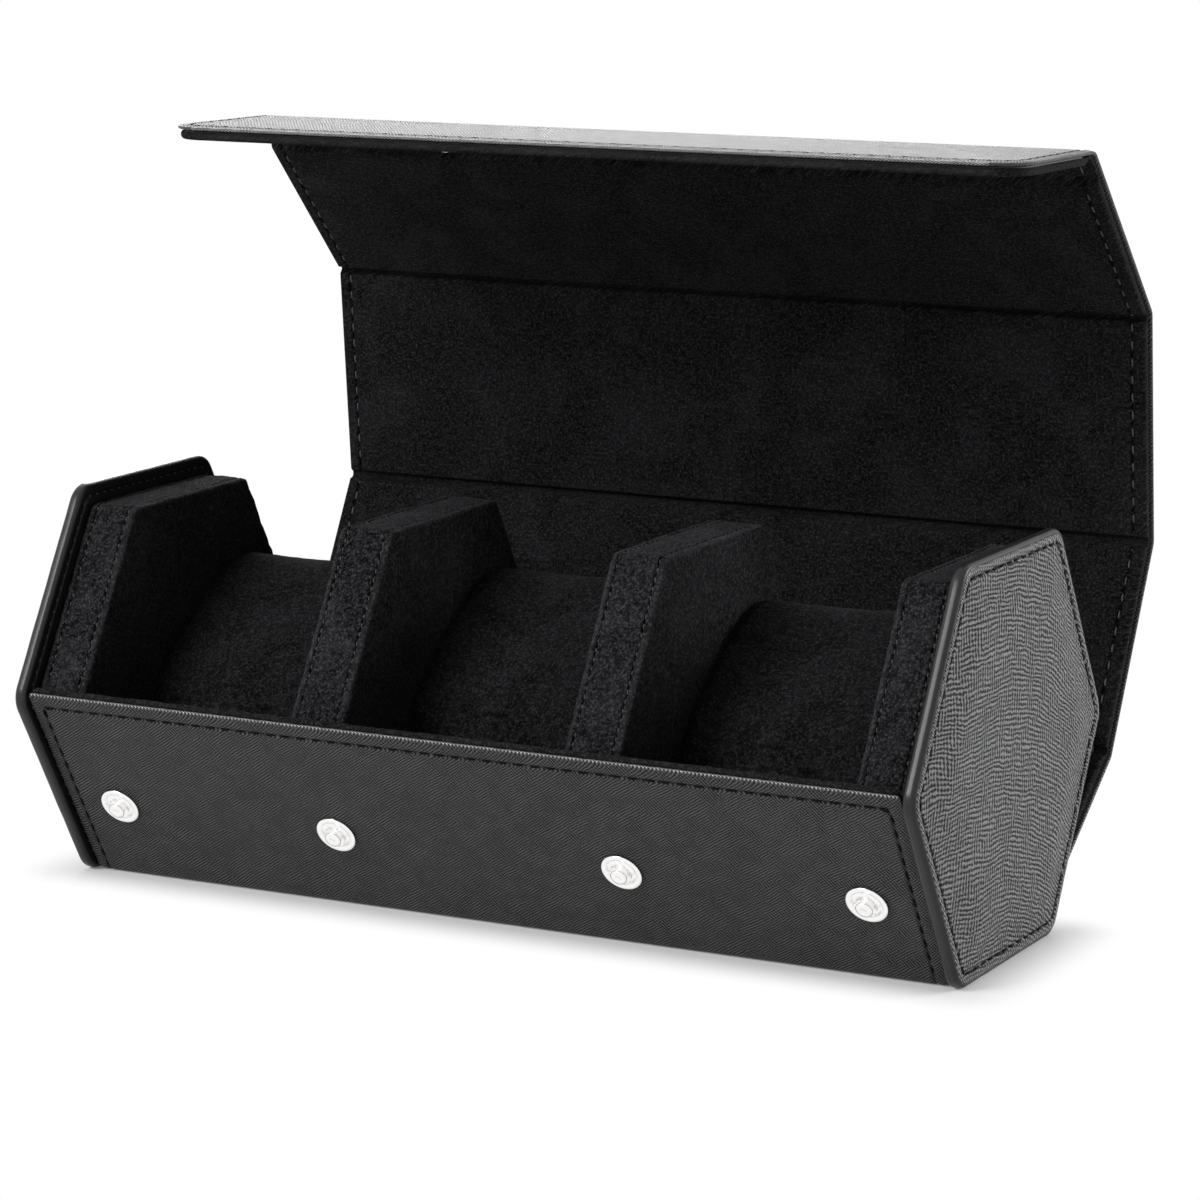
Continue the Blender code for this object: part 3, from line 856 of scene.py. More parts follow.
def make_cap(side, sizes):
    """One end cap: padded grained leather, a burnished rim round it, and both seams."""
    word = "left" if side < 0 else "right"
    corner = (APOTHEM, CAP_CORNER)

    # Edge wear and painted highlight beads in the margin outside the seam
    def worn(inset, x):
        return dip(inset - 1.6 * MM, 0.7 * MM) * 0.6

    # Painted shade: marks the cap's seam groove, which is coloured darker
    def seam(inset, x):
        return dip(inset - sizes.cap_seam, 0.35 * MM)

    profile = [(inset, side * (HALF_LENGTH + proud)) for inset, proud in cap_profile_outside(sizes)]
    profile.append((0.9 * MM, side * (HALF_LENGTH - 0.9 * MM)))
    profile.append((3.0 * MM, side * (HALF_LENGTH - 0.7 * MM)))
    profile.append((30.0 * MM, side * (HALF_LENGTH - 0.5 * MM)))
    face = hexagon_loft(f"{word}_cap_face", profile, corner, cap_leather(), "grained_leather",
                        worn=worn, seam=seam)
    ruffle(face, (7 * MM, 0.05 * MM), (22 * MM, 0.10 * MM))
    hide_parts(f"{word}_cap_leather")
    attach(face, "base")

    edge = 1.15 * MM
    profile = [(3.2 * MM, 0.55 * MM), (1.3 * MM, 0.50 * MM), (1.05 * MM, 0.18 * MM)]
    for step in range(1, 9):
        angle = pi / 2 * step / 8
        profile.append((edge * (1 - sin(angle)), edge * (1 - cos(angle)) + 0.02 * MM))
    for step in range(9):
        angle = pi / 2 * step / 8
        far = CAP_THICKNESS - edge
        profile.append((edge * (1 - cos(angle)), far + edge * sin(angle)))
    for inset in (1.5, 1.9, 2.2, 2.4, 2.6, 2.8, 3.0, 3.2, 3.5, 3.9, 4.4, 5.2, 6.2):
        sunk = sizes.seam_depth * dip(inset * MM - CAP_INNER_SEAM, 0.3 * MM)
        profile.append((inset * MM, CAP_THICKNESS - sunk - 0.02 * MM))
    profile.append((6.2 * MM, CAP_THICKNESS - 0.5 * MM))
    profile = [(inset, side * (HALF_LENGTH - depth)) for inset, depth in profile]
    rim = hexagon_loft(f"{word}_cap_rim", profile, corner, rim_leather(), "smooth_leather",
                       hollow=True, worn=lambda inset, x: dip(inset, 0.6 * MM))
    ruffle(rim, (5 * MM, 0.05 * MM))
    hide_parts(f"{word}_cap_binding")
    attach(rim, "base")

    lines = []
    outside = HALF_LENGTH - sizes.seam_depth * 1.1
    inside = CAP_INNER_X + sizes.seam_depth * 0.9
    for inset, x, way in ((sizes.cap_seam, outside, 1), (CAP_INNER_SEAM, inside, -1)):
        line = hexagon_line(APOTHEM - inset, CAP_CORNER - inset)
        up = Vector((side * way, 0.0, 0.0))
        lines.append(([(Vector((side * x, p.x, p.y)), up, 0.0) for p in line], True))
    outer = sew(f"{word}_cap_stitches", lines[:1], sizes.stitch, sizes.stitch_gap, sizes.thread,
                slant=0.08 * MM)
    inner = sew(f"{word}_cap_inner_stitches", lines[1:], 0.8 * MM, 2.1 * MM, sizes.thread * 0.6,
                on_suede=True)
    for piece in (outer, inner):
        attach(piece, "base")


class MakeCaps(bpy.types.Operator):
    """Make both end caps with their padded leather, rims and seams"""

    bl_idname = "roll_case.caps"
    bl_label = "End Caps"

    def execute(self, context):
        for side in (-1, 1):
            make_cap(side, context.scene.roll_case_sizes)
        return {"FINISHED"}


def block_profile(width, sizes):
    """Across a padded block, from the middle of one side to the middle of the other."""
    edge = sizes.block_edge
    seam = sizes.block_seam
    puff = 0.22 * MM
    half = []
    for inset in (39.0, 34.0, 29.0, 24.0, 20.0, 16.0, 13.0, 10.5, 8.5, 7.0, 5.8, 4.8, 4.0, 3.3,
                  2.7, 2.2, 1.8, 1.5):
        swell = puff * rise(1.0 * MM, 14 * MM, inset * MM)
        half.append((inset * MM, -swell))
    for step in range(9):
        angle = pi / 2 * step / 8
        half.append((edge * (1 - sin(angle)), edge * (1 - cos(angle))))
    rim = [seam - 0.35 * MM, seam - 0.2 * MM, seam - 0.1 * MM, seam, seam + 0.1 * MM,
           seam + 0.2 * MM, seam + 0.35 * MM, seam + 0.6 * MM, seam + 1.0 * MM]
    while rim[-1] + 1.0 * MM < width / 2:
        rim.append(rim[-1] + 0.9 * MM)
    for x in rim:
        inset = 0.42 * MM * dip(x - seam, 0.20 * MM)
        inset -= 0.16 * MM * dip(x - seam + 0.6 * MM, 0.4 * MM)
        inset -= 0.10 * MM * rise(seam, width / 2, x)
        half.append((inset, x))
    other = [(inset, width - x) for inset, x in reversed(half)]
    return half + other


def make_block(name, near, width, nodes, sizes):
    """A padded block: foam in suede, with a seam near each edge of its rim."""
    corner = (BLOCK_APOTHEM, BLOCK_CORNER)

    def worn(inset, x):
        from_side = min(x - near, near + width - x)
        return dip(inset - 0.2 * MM, 0.6 * MM) * dip(from_side - 0.6 * MM, 0.8 * MM)

    # Painted shade: marks the rim's seam grooves, which are coloured darker
    def seam(inset, x):
        from_side = min(x - near, near + width - x)
        return dip(from_side - sizes.block_seam, 0.28 * MM)

    # Painted light: the rim's suede is marked to be painted paler than the block's sides, lit faces
    # against shaded ones
    def band(inset, x):
        return rise(0.0, 0.9 * MM, min(x - near, near + width - x))

    profile = [(inset, near + x) for inset, x in block_profile(width, sizes)]
    block = hexagon_loft(f"{name}_padding", profile, corner, suede(), "suede", worn=worn,
                         seam=seam, band=band)
    ruffle(block, (1.2 * MM, 0.24 * MM), (4.5 * MM, 0.12 * MM), (19 * MM, 0.18 * MM))
    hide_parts(*nodes)
    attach(block, "base")
    lines = []
    for x in (near + sizes.block_seam, near + width - sizes.block_seam):
        line = []
        outline = hexagon_line(BLOCK_APOTHEM - 0.28 * MM, 2.4 * MM)
        for point in outline:
            out = (point - Vector((0.0, CENTRE_Z))).normalized()
            line.append((Vector((x, point.x, point.y)), Vector((0.0, out.x, out.y)), 0.0))
        lines.append((line, True))
    stitches = sew(f"{name}_stitches", lines, 1.0 * MM, 1.1 * MM, sizes.thread * 0.46,
                   slant=0.05 * MM, on_suede=True)
    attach(stitches, "base")


class MakeBlocks(bpy.types.Operator):
    """Make the padded end blocks and dividers"""

    bl_idname = "roll_case.blocks"
    bl_label = "Blocks and Dividers"

    def execute(self, context):
        sizes = context.scene.roll_case_sizes
        for word, near in (("left", -BLOCK_HIGH.x), ("right", BLOCK_LOW.x)):
            nodes = (f"{word}_block_cover", f"{word}_block_core")
            make_block(f"{word}_block", near, BLOCK_WIDTH, nodes, sizes)
        width = DIVIDER_FAR - DIVIDER_NEAR
        for number, near in ((1, -DIVIDER_FAR), (2, DIVIDER_NEAR)):
            nodes = [f"divider_{number}_{part}" for part in ("band", "core", "left_face",
                                                             "right_face")]
            make_block(f"divider_{number}", near, width, nodes, sizes)
        return {"FINISHED"}


def from_edge(x, along, half, start, end, start_corner, end_corner):
    """How far a point of a sheet lies inside its cut edge."""
    beside = half - abs(x)
    distance = beside
    for left, corner in ((along - start, start_corner), (end - along, end_corner)):
        if left < corner and beside < corner:
            left = corner - hypot(corner - left, corner - beside)
        distance = min(distance, left)
    return distance


def half_at(along, half, start, end, start_corner, end_corner):
    """Half the width of a sheet at a distance along it."""
    for left, corner in ((along - start, start_corner), (end - along, end_corner)):
        if left < corner:
            gone = corner - max(left, 0.0)
            return half - corner + sqrt(max(corner * corner - gone * gone, 0.0))
    return half


EDGE_STEPS = [step * MM for step in (0, 0.03, 0.09, 0.18, 0.3, 0.45, 0.65, 0.9, 1.3, 1.7, 2.1, 2.4,
                                     2.65, 2.9, 3.15, 3.4, 3.6, 3.8, 4.0, 4.3, 5.0)]


def columns(half):
    """X of the points across a sheet, close together near its sides."""
    inner = half - EDGE_STEPS[-1]
    count = 36
    middle = [-inner + 2 * inner * step / count for step in range(1, count)]
    left = [-half + step for step in EDGE_STEPS]
    return left + middle + [-x for x in reversed(left)]


def stations(start, end, first_edge, last_edge, last_corner):
    """Distances along a sheet, close together near its cut ends and its folds."""
    found = [start, end]
    count = int((end - start) / (3 * MM))
    found += [start + (end - start) * step / count for step in range(1, count)]
    for mark in COURSE.marks[1:-1]:
        for step in range(-44, 45):
            found.append(mark + step * 0.1 * MM * (1 if abs(step) < 30 else 1.5))
    if first_edge:
        found += [start + step for step in EDGE_STEPS]
    if last_edge:
        found += [end - last_corner * (1 - sin(pi / 2 * step / 34)) for step in range(35)]
    found = sorted(along for along in found if start <= along <= end)
    kept = [found[0]]
    for along in found[1:]:
        close = 0.008 * MM if first_edge or last_edge else 0.09 * MM
        if along - kept[-1] > close:
            kept.append(along)
    kept[-1] = end
    return kept


def make_sheet(name, alongs, edge, low, high, finish, cut_first, cut_last, wear):
    """A bent sheet with a thickness. edge is its half width, start, end and both corners."""
    points = []
    lay = []
    marks = {"worn": [], "seam": []}
    for along in alongs:
        across = columns(half_at(along, *edge))
        outer = [(x, low) for x in across]
        inner = [(x, high) for x in reversed(across[1:-1])]
        for x, surface in outer + inner:
            distance = from_edge(x, along, *edge)
            lift, seam = surface(x, along, distance)
            points.append(COURSE.at(x, along, lift))
            lay.append((x + 1.7 * lift, along + lift))
            # Edge wear and painted highlight along the cut edges, fuller at the ends than along the
            # sides
            from_end = min(along - edge[1], edge[2] - along)
            share = 1.0 if from_end < distance + 0.1 * MM else 0.3
            marks["worn"].append(share * dip(distance, wear))
            marks["seam"].append(seam)
    count = len(points) // len(alongs)
    faces = ring_faces(len(alongs), count, cut_first, cut_last)
    return make_piece(name, points, faces, finish, lay, marks)


LEATHER_EDGE = (COVER_HALF, 0.0, COURSE.length, FRONT_CORNER, FLAP_CORNER)
LINING_START = FOLD_MARKS[0] - 4.3 * MM
LINING_END = COURSE.length - LINING_INSET
LINING_EDGE = (COVER_HALF - LINING_INSET, -1.0, LINING_END, 0.001 * MM, FLAP_CORNER - LINING_INSET)


def seam_distance(sizes, along):
    """How far the leather's seam is from its edge, a little more along the front's top."""
    return mixed(sizes.top_seam, sizes.side_seam, rise(3.5 * MM, 6.0 * MM, along))


def leather_outside(sizes):
    """Outer face of the leather sheet, with its seam pulled in: (lift, how deep in the seam)."""
    def surface(x, along, distance):
        # seam also sets the painted shade that darkens the groove
        seam = dip(distance - seam_distance(sizes, along), 0.36 * MM)
        bevel = EDGE_BEVEL * (1 - min(distance / EDGE_BEVEL_WIDTH, 1.0)) ** 2
        lift = -LEATHER / 2 + max(rolled(distance, LEATHER / 2), bevel) + sizes.seam_depth * seam
        return lift, seam
    return surface


def leather_inside(x, along, distance):
    return LEATHER / 2 - rolled(distance, LEATHER / 2), 0.0


def make_leather_part(body, alongs, cut_first, cut_last, outside):
    """One body's part of the leather sheet."""
    leather = make_sheet(f"{body}_leather_sheet", alongs, LEATHER_EDGE, outside, leather_inside,
                         sheet_leather(), cut_first, cut_last, EDGE_WEAR_AND_GLINT)
    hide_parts(f"{body}_leather")
    return leather


def sew_leather(body, line, sizes, keep):
    """One body's share of the leather's seam."""
    return sew(f"{body}_stitches", [(line, True)], sizes.stitch, sizes.stitch_gap, sizes.thread,
               slant=0.1 * MM, keep=keep)


def side_and_corner(half, start, end, radius):
    """(x, along) up a sheet's left side and round its corner."""
    flat = []
    along = start
    while along < end - radius:
        flat.append((-half, along))
        along += 0.5 * MM
    for number in range(25):
        angle = pi / 2 * number / 24
        flat.append((-half + radius * (1 - cos(angle)), end - radius + radius * sin(angle)))
    return flat


def on_sheet(flat, surface, edge, side):
    """A line of (point, up, mark) on a sheet. side is 1 for its inner face and -1 for its outer."""
    line = []
    for x, along in flat:
        lift = surface(x, along, from_edge(x, along, *edge))[0]
        line.append((COURSE.at(x, along, lift), side * COURSE.up(along), along))
    return line


def seam_loop(sizes, surface):
    """The leather's seam all the way round: along the sides, the flap's end and the front."""
    half = COVER_HALF - sizes.side_seam
    top = sizes.top_seam
    end = COURSE.length - sizes.side_seam
    radius = FLAP_CORNER - sizes.side_seam
    flat = side_and_corner(half, top, end, radius)
    x = -half + radius + 4 * MM
    while x < half - radius:
        flat.append((x, end))
        x += 4 * MM
    flat += [(-x, along) for x, along in reversed(flat) if along < end - 1e-6]
    x = half - 4 * MM
    while x > -half + 1 * MM:
        flat.append((x, top))
        x -= 4 * MM
    return on_sheet(flat, surface, LEATHER_EDGE, -1)


class MakeBase(bpy.types.Operator):
    """Make the leather of the front panel and underside, its seam and the suede welt"""

    bl_idname = "roll_case.base"
    bl_label = "Front and Underside"

    def execute(self, context):
        sizes = context.scene.roll_case_sizes
        outside = leather_outside(sizes)
        alongs = stations(0.0, CUTS[1], True, False, 0.0)
        leather = make_leather_part("base", alongs, False, True, outside)
        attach(leather, "base")
        seam = sew_leather("base", seam_loop(sizes, outside), sizes, (0.0, CUTS[1]))
        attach(seam, "base")
        self.make_welt()
        return {"FINISHED"}

    def make_welt(self):
        """The lining's rolled edge behind the front panel's top."""
        middle = (FRONT_APOTHEM - LEATHER + BLOCK_APOTHEM) / 2 + 0.06 * MM
        thick = (FRONT_APOTHEM - LEATHER - BLOCK_APOTHEM) / 2 - 0.10 * MM
        half = CAP_INNER_X - 0.7 * MM
        points = []
        stops = 180
        for stop in range(stops + 1):
            x = -half + 2 * half * stop / stops
            drawn = rolled(min(x + half, half - x), thick) / thick
            for side in range(12):
                angle = 2 * pi * side / 12
                out = thick * (1 - drawn) * (abs(cos(angle)) ** 0.7) * (1 if cos(angle) > 0 else -1)
                down = -0.15 * MM + 0.85 * MM * (1 - drawn) * sin(angle)
                point = front_point(middle + out, down)
                points.append((x, point.x, point.y))
        welt = make_piece("front_welt", points, ring_faces(stops + 1, 12), suede(),
                          marks={"worn": [0.4] * len(points)})
        ruffle(welt, (1.0 * MM, 0.16 * MM), (6 * MM, 0.12 * MM))
        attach(welt, "base")


def board_cover(along):
    """(under side, upper side) of the lining at a distance along the case."""
    share = 1.0
    back = 1.0
    for number, mark in enumerate(FOLD_MARKS):
        offset = along - mark
        starts = [0.9 * MM, 0.9 * MM]
        if number == len(FOLD_MARKS) - 1:
            starts = [7.2 * MM, 2.3 * MM]
        start = starts[0] if offset < 0 else starts[1]
        share = min(share, rise(start, start + 1.3 * MM, abs(offset)))
        start = max(start, 1.9 * MM)
        back = min(back, rise(start, start + 1.5 * MM, abs(offset)))
    under = mixed(LINING_BACK, BOARD_TOP, back)
    upper = mixed(LINING_IN_CREASE, LINING_OVER_BOARD, share)
    before = FOLD_MARKS[0] - along
    if before > 0:
        under = mixed(LINING_BACK, 3.72 * MM, rise(3.3 * MM, 3.95 * MM, before))
        upper = mixed(LINING_IN_CREASE, 3.86 * MM, rise(2.5 * MM, 3.6 * MM, before))
    return under, upper


def lining_edge(distance, under, upper):
    """How far the lining's rounded side has drawn back, at most to the middle of its depth."""
    radius = 0.42 * (upper - under)
    return rolled(distance, radius) * (upper - under) / 2 / radius


def lining_under(x, along, distance):
    under, upper = board_cover(along)
    rim = LINING_BACK + lining_edge(distance, LINING_BACK, upper)
    return mixed(rim, under, rise(0.3 * MM, 0.66 * MM, distance)), 0.0


def lining_over(sizes):
    """Inner face of the lining, with its seam pulled in: (lift, the more of seam depth and painted
    crease shade).
    """
    def surface(x, along, distance):
        upper = board_cover(along)[1]
        lift = upper - lining_edge(distance, LINING_BACK, upper)
        if along < FOLD_MARKS[0]:
            return lift, 0.0
        on_board = rise(LINING_IN_CREASE, LINING_OVER_BOARD, upper)
        seam = dip(distance - sizes.lining_seam, 0.4 * MM) * on_board
        inside = rise(4 * MM, 18 * MM, distance) * on_board
        unevenness = 0.06 * MM + 0.13 * MM * noise.noise(Vector((x, along, 0.0)) / (26 * MM))
        # Painted shade: the ramps of the crease at each fold are coloured darker
        painted_crease_shade = 3.6 * on_board * (1 - on_board)
        return lift - 0.28 * MM * seam + unevenness * inside, max(seam, painted_crease_shade)
    return surface


def lining_seam_line(sizes, surface):
    """The seam down both sides of the lining and round the flap's end."""
    half = COVER_HALF - LINING_INSET - sizes.lining_seam
    end = LINING_END - sizes.lining_seam
    radius = FLAP_CORNER - LINING_INSET - sizes.lining_seam
    flat = side_and_corner(half, FOLD_MARKS[0] + 1.5 * MM, end, radius)
    flat += [(-x, along) for x, along in reversed(flat)]
    return on_sheet(flat, surface, LINING_EDGE, 1)


def bend(piece, number):
    """Bake a cover piece's transform into its mesh; the points either side of its fold go unused.
    """
    mark = FOLD_MARKS[number - 1]
    start = COURSE.at(0.0, mark - BEND_REACH)
    end = COURSE.at(0.0, mark + BEND_REACH)
    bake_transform(piece)


class MakeCover(bpy.types.Operator):
    """Make the cover's leather, its suede lining and the seams of both"""

    bl_idname = "roll_case.cover"
    bl_label = "Cover"

    def execute(self, context):
        sizes = context.scene.roll_case_sizes
        outside = leather_outside(sizes)
        over = lining_over(sizes)
        leather_seam = seam_loop(sizes, outside)
        lining_seam = lining_seam_line(sizes, over)
        last = len(FOLD_MARKS)
        for number in range(1, last + 1):
            body = f"cover_{number}"
            start, end = CUTS[number], CUTS[number + 1]
            flap = number == last
            alongs = stations(start, end, False, flap, FLAP_CORNER)
            leather = make_leather_part(body, alongs, True, not flap, outside)
            if number == 1:
                start = LINING_START
            if flap:
                end = LINING_END
            alongs = stations(start, end, False, flap, FLAP_CORNER - LINING_INSET)
            lining = make_sheet(f"{body}_suede", alongs, LINING_EDGE, lining_under, over,
                                suede(lay=True), True, not flap, 0.25 * MM)
            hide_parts(f"{body}_lining")
            keep = (CUTS[number], CUTS[number + 1] + (1 if flap else 0))
            seam = sew_leather(body, leather_seam, sizes, keep)
            lined = sew(f"{body}_lining_stitches", [(lining_seam, False)],
                        sizes.stitch * 0.85, sizes.stitch_gap * 1.5, sizes.thread * 0.68,
                        slant=0.06 * MM, keep=(start, keep[1]), on_suede=True)
            for piece in (leather, lining, seam, lined):
                bend(piece, number)
        return {"FINISHED"}


class MakeBayLinings(bpy.types.Operator):
    """Make the suede on the floor and front wall of each bay"""

    bl_idname = "roll_case.bays"
    bl_label = "Bay Linings"

    def execute(self, context):
        back = FOLD_POINTS[0].x - 4.1 * MM
        low, outer = BLOCK_INSET, BLOCK_APOTHEM
        points = [front_point(outer, 1.0 * MM),
                  faces_meet(BOTTOM, APOTHEM - low, FRONT_LOWER, outer),
                  Vector((back, low))]
        course = Course(points, [2.5 * MM])
        half = BAY_WIDTH / 2 - GAP
        for number in range(1, 4):
            middle = (number - 2) * BAY_PITCH
            rows = []
            stops = 90
            for stop in range(stops + 1):
                along = course.length * stop / stops
                xs = [middle - half + 2 * half * step / 40 for step in range(41)]
                rows += [course.at(x, along, 0.02 * MM) for x in xs]
                rows += [course.at(x, along, SUEDE) for x in reversed(xs)]
            faces = ring_faces(stops + 1, 82)
            lining = make_piece(f"bay_{number}_suede", rows, faces, suede())
            ruffle(lining, (2.0 * MM, 0.06 * MM), (11 * MM, 0.1 * MM))
            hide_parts(f"bay_{number}_lining")
            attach(lining, "base")
        return {"FINISHED"}


def oval(inset, sink, count):
    """Outline of a pillow, long side leaning up to the back, shrunk by an inset."""
    centre = PILLOW_CENTRE - sink * Vector((sin(pi / 6), cos(pi / 6)))
    power = 2 / PILLOW_SQUARENESS
    points = []
    for step in range(count):
        angle = 2 * pi * step / count
        half_height = PILLOW_HALF_UPPER if sin(angle) > 0 else PILLOW_HALF_LOWER
        u = (PILLOW_HALF_LENGTH - inset) * abs(cos(angle)) ** power
        v = (half_height - inset) * abs(sin(angle)) ** power
        u = u if cos(angle) > 0 else -u
        v = v if sin(angle) > 0 else -v
        points.append(centre + u * direction(PILLOW_TILT) + v * inward(PILLOW_TILT))
    return points


def even_oval(inset, sink, count):
    """The same outline with its points spaced evenly."""
    line = oval(inset, sink, 720)
    line.append(line[0])
    marks = [0.0]
    for before, after in zip(line, line[1:]):
        marks.append(marks[-1] + (after - before).length)
    points = []
    index = 0
    for number in range(count):
        distance = marks[-1] * number / count
        while marks[index + 1] < distance:
            index += 1
        share = (distance - marks[index]) / (marks[index + 1] - marks[index])
        points.append(line[index].lerp(line[index + 1], share))
    return points


def baked_mesh(piece):
    """The piece's mesh with its modifiers applied."""
    graph = bpy.context.evaluated_depsgraph_get()
    graph.update()
    return bpy.data.meshes.new_from_object(piece.evaluated_get(graph))


def subdivide(piece, levels):
    smoother = piece.modifiers.new("smooth", "SUBSURF")
    smoother.levels = levels
    smoother.render_levels = levels
    mesh = baked_mesh(piece)
    piece.modifiers.clear()
    piece.data = mesh


def inflate(piece, seam, cap, limit):
    """Swell a cover by cloth simulation, held at its seams, and cap how far it moves."""
    rest = [vertex.co.copy() for vertex in piece.data.vertices]
    group = piece.vertex_groups.new(name="seam")
    group.add(seam, 1.0, "REPLACE")
    cloth = piece.modifiers.new("cover", "CLOTH")
    cloth.settings.quality = 6
    cloth.settings.mass = 0.2
    cloth.settings.tension_stiffness = 12
    cloth.settings.compression_stiffness = 12
    cloth.settings.bending_stiffness = 0.6
    cloth.settings.use_pressure = True
    cloth.settings.uniform_pressure_force = 4.0
    cloth.settings.vertex_group_mass = "seam"
    cloth.settings.effector_weights.gravity = 0.0
    cloth.point_cache.frame_start = 1
    cloth.point_cache.frame_end = 20
    scene = bpy.context.scene
    for number in range(1, 21):
        scene.frame_set(number)
    mesh = baked_mesh(piece)
    piece.modifiers.clear()
    piece.data = mesh
    scene.frame_set(1)
    for vertex, start in zip(mesh.vertices, rest):
        move = vertex.co - start
        if move.length > cap:
            move = move.normalized() * cap
        vertex.co = start + move
        vertex.co.x = min(max(vertex.co.x, -limit), limit)


class MakePillows(bpy.types.Operator):
    """Make the three suede pillows, swollen over their foam"""

    bl_idname = "roll_case.pillows"
    bl_label = "Pillows"

    def execute(self, context):
        sizes = context.scene.roll_case_sizes
        for number, sink in enumerate(PILLOW_SINKS, 1):
            self.make_pillow(number, sink, sizes)
        return {"FINISHED"}

    def make_pillow(self, number, sink, sizes):
        around = 60
        half = BAY_WIDTH / 2 - 0.9 * MM
        tight = 1.35 * MM
        profile = [(19.0 * MM, -half), (14.0 * MM, -half), (9.5 * MM, -half), (5.6 * MM, -half),
                   (3.0 * MM, -half), (tight + 0.25 * MM, -half + 0.2 * MM),
                   (tight, -half + 1.0 * MM)]
        seam_rows = [5, 6]
        body = [-half + 3.0 * MM + (2 * half - 6.0 * MM) * step / 16 for step in range(17)]
        profile += [(tight, x) for x in body]
        seam_rows += [len(profile), len(profile) + 1]
        profile += [(inset, -x) for inset, x in reversed(profile[:7])]
        points = []
        for inset, x in profile:
            points += [(x, point.x, point.y) for point in even_oval(inset, sink, around)]
        faces = ring_faces(len(profile), around)
        pillow = make_piece(f"pillow_{number}_cushion", points, faces, suede())
        seam = [row * around + i for row in seam_rows for i in range(around)]
        inflate(pillow, seam, sizes.pillow_swell, BAY_WIDTH / 2 - 0.45 * MM)
        subdivide(pillow, 2)
        self.gather(pillow, half)
        ruffle(pillow, (1.4 * MM, 0.10 * MM), (6 * MM, 0.16 * MM), (21 * MM, 0.35 * MM))
        pillow.location.x = (number - 2) * BAY_PITCH
        worn = pillow.data.attributes.new("worn", "FLOAT", "POINT")
        marks = [0.25 * dip(abs(v.co.x) - half, 1.2 * MM) for v in pillow.data.vertices]
        worn.data.foreach_set("value", marks)
        nodes = [f"pillow_{number}_{part}" for part in ("cover", "end", "core")]
        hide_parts(*nodes)
        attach(pillow, f"pillow_{number}")

    def gather(self, pillow, half):
        """Small gathers where the cover is sewn to its end panels."""
        def pull(at):
            from_seam = abs(at.x) - (half - 1.1 * MM)
            around = (at.y - at.z * 1.3) / (3.1 * MM) + at.y * 90
            gathers = dip(from_seam, 2.6 * MM) * 0.12 * MM * sin(2 * pi * around)
            return -dip(from_seam, 0.45 * MM) * 0.35 * MM - gathers

        swell(pillow, pull)


def turned_piece(name, profile, place, axis, crimps=0, crimp_depth=0.0):
    """A turned metal piece from (radius, height) points along an axis."""
    count = 72
    turn = Vector((0, 0, 1)).rotation_difference(axis).to_matrix()
    points = []
    for radius, height in profile:
        for i in range(count):
            angle = 2 * pi * i / count
            drawn = 0.0
            if crimps and 2.4 * MM < radius < 3.5 * MM:
                drawn = crimp_depth * (0.5 + 0.5 * cos(crimps * angle)) ** 3
            point = Vector((radius * cos(angle), radius * sin(angle), height - drawn))
            points.append(place + turn @ point)
    faces = ring_faces(len(profile), count)
    return make_piece(name, points, faces, nickel())


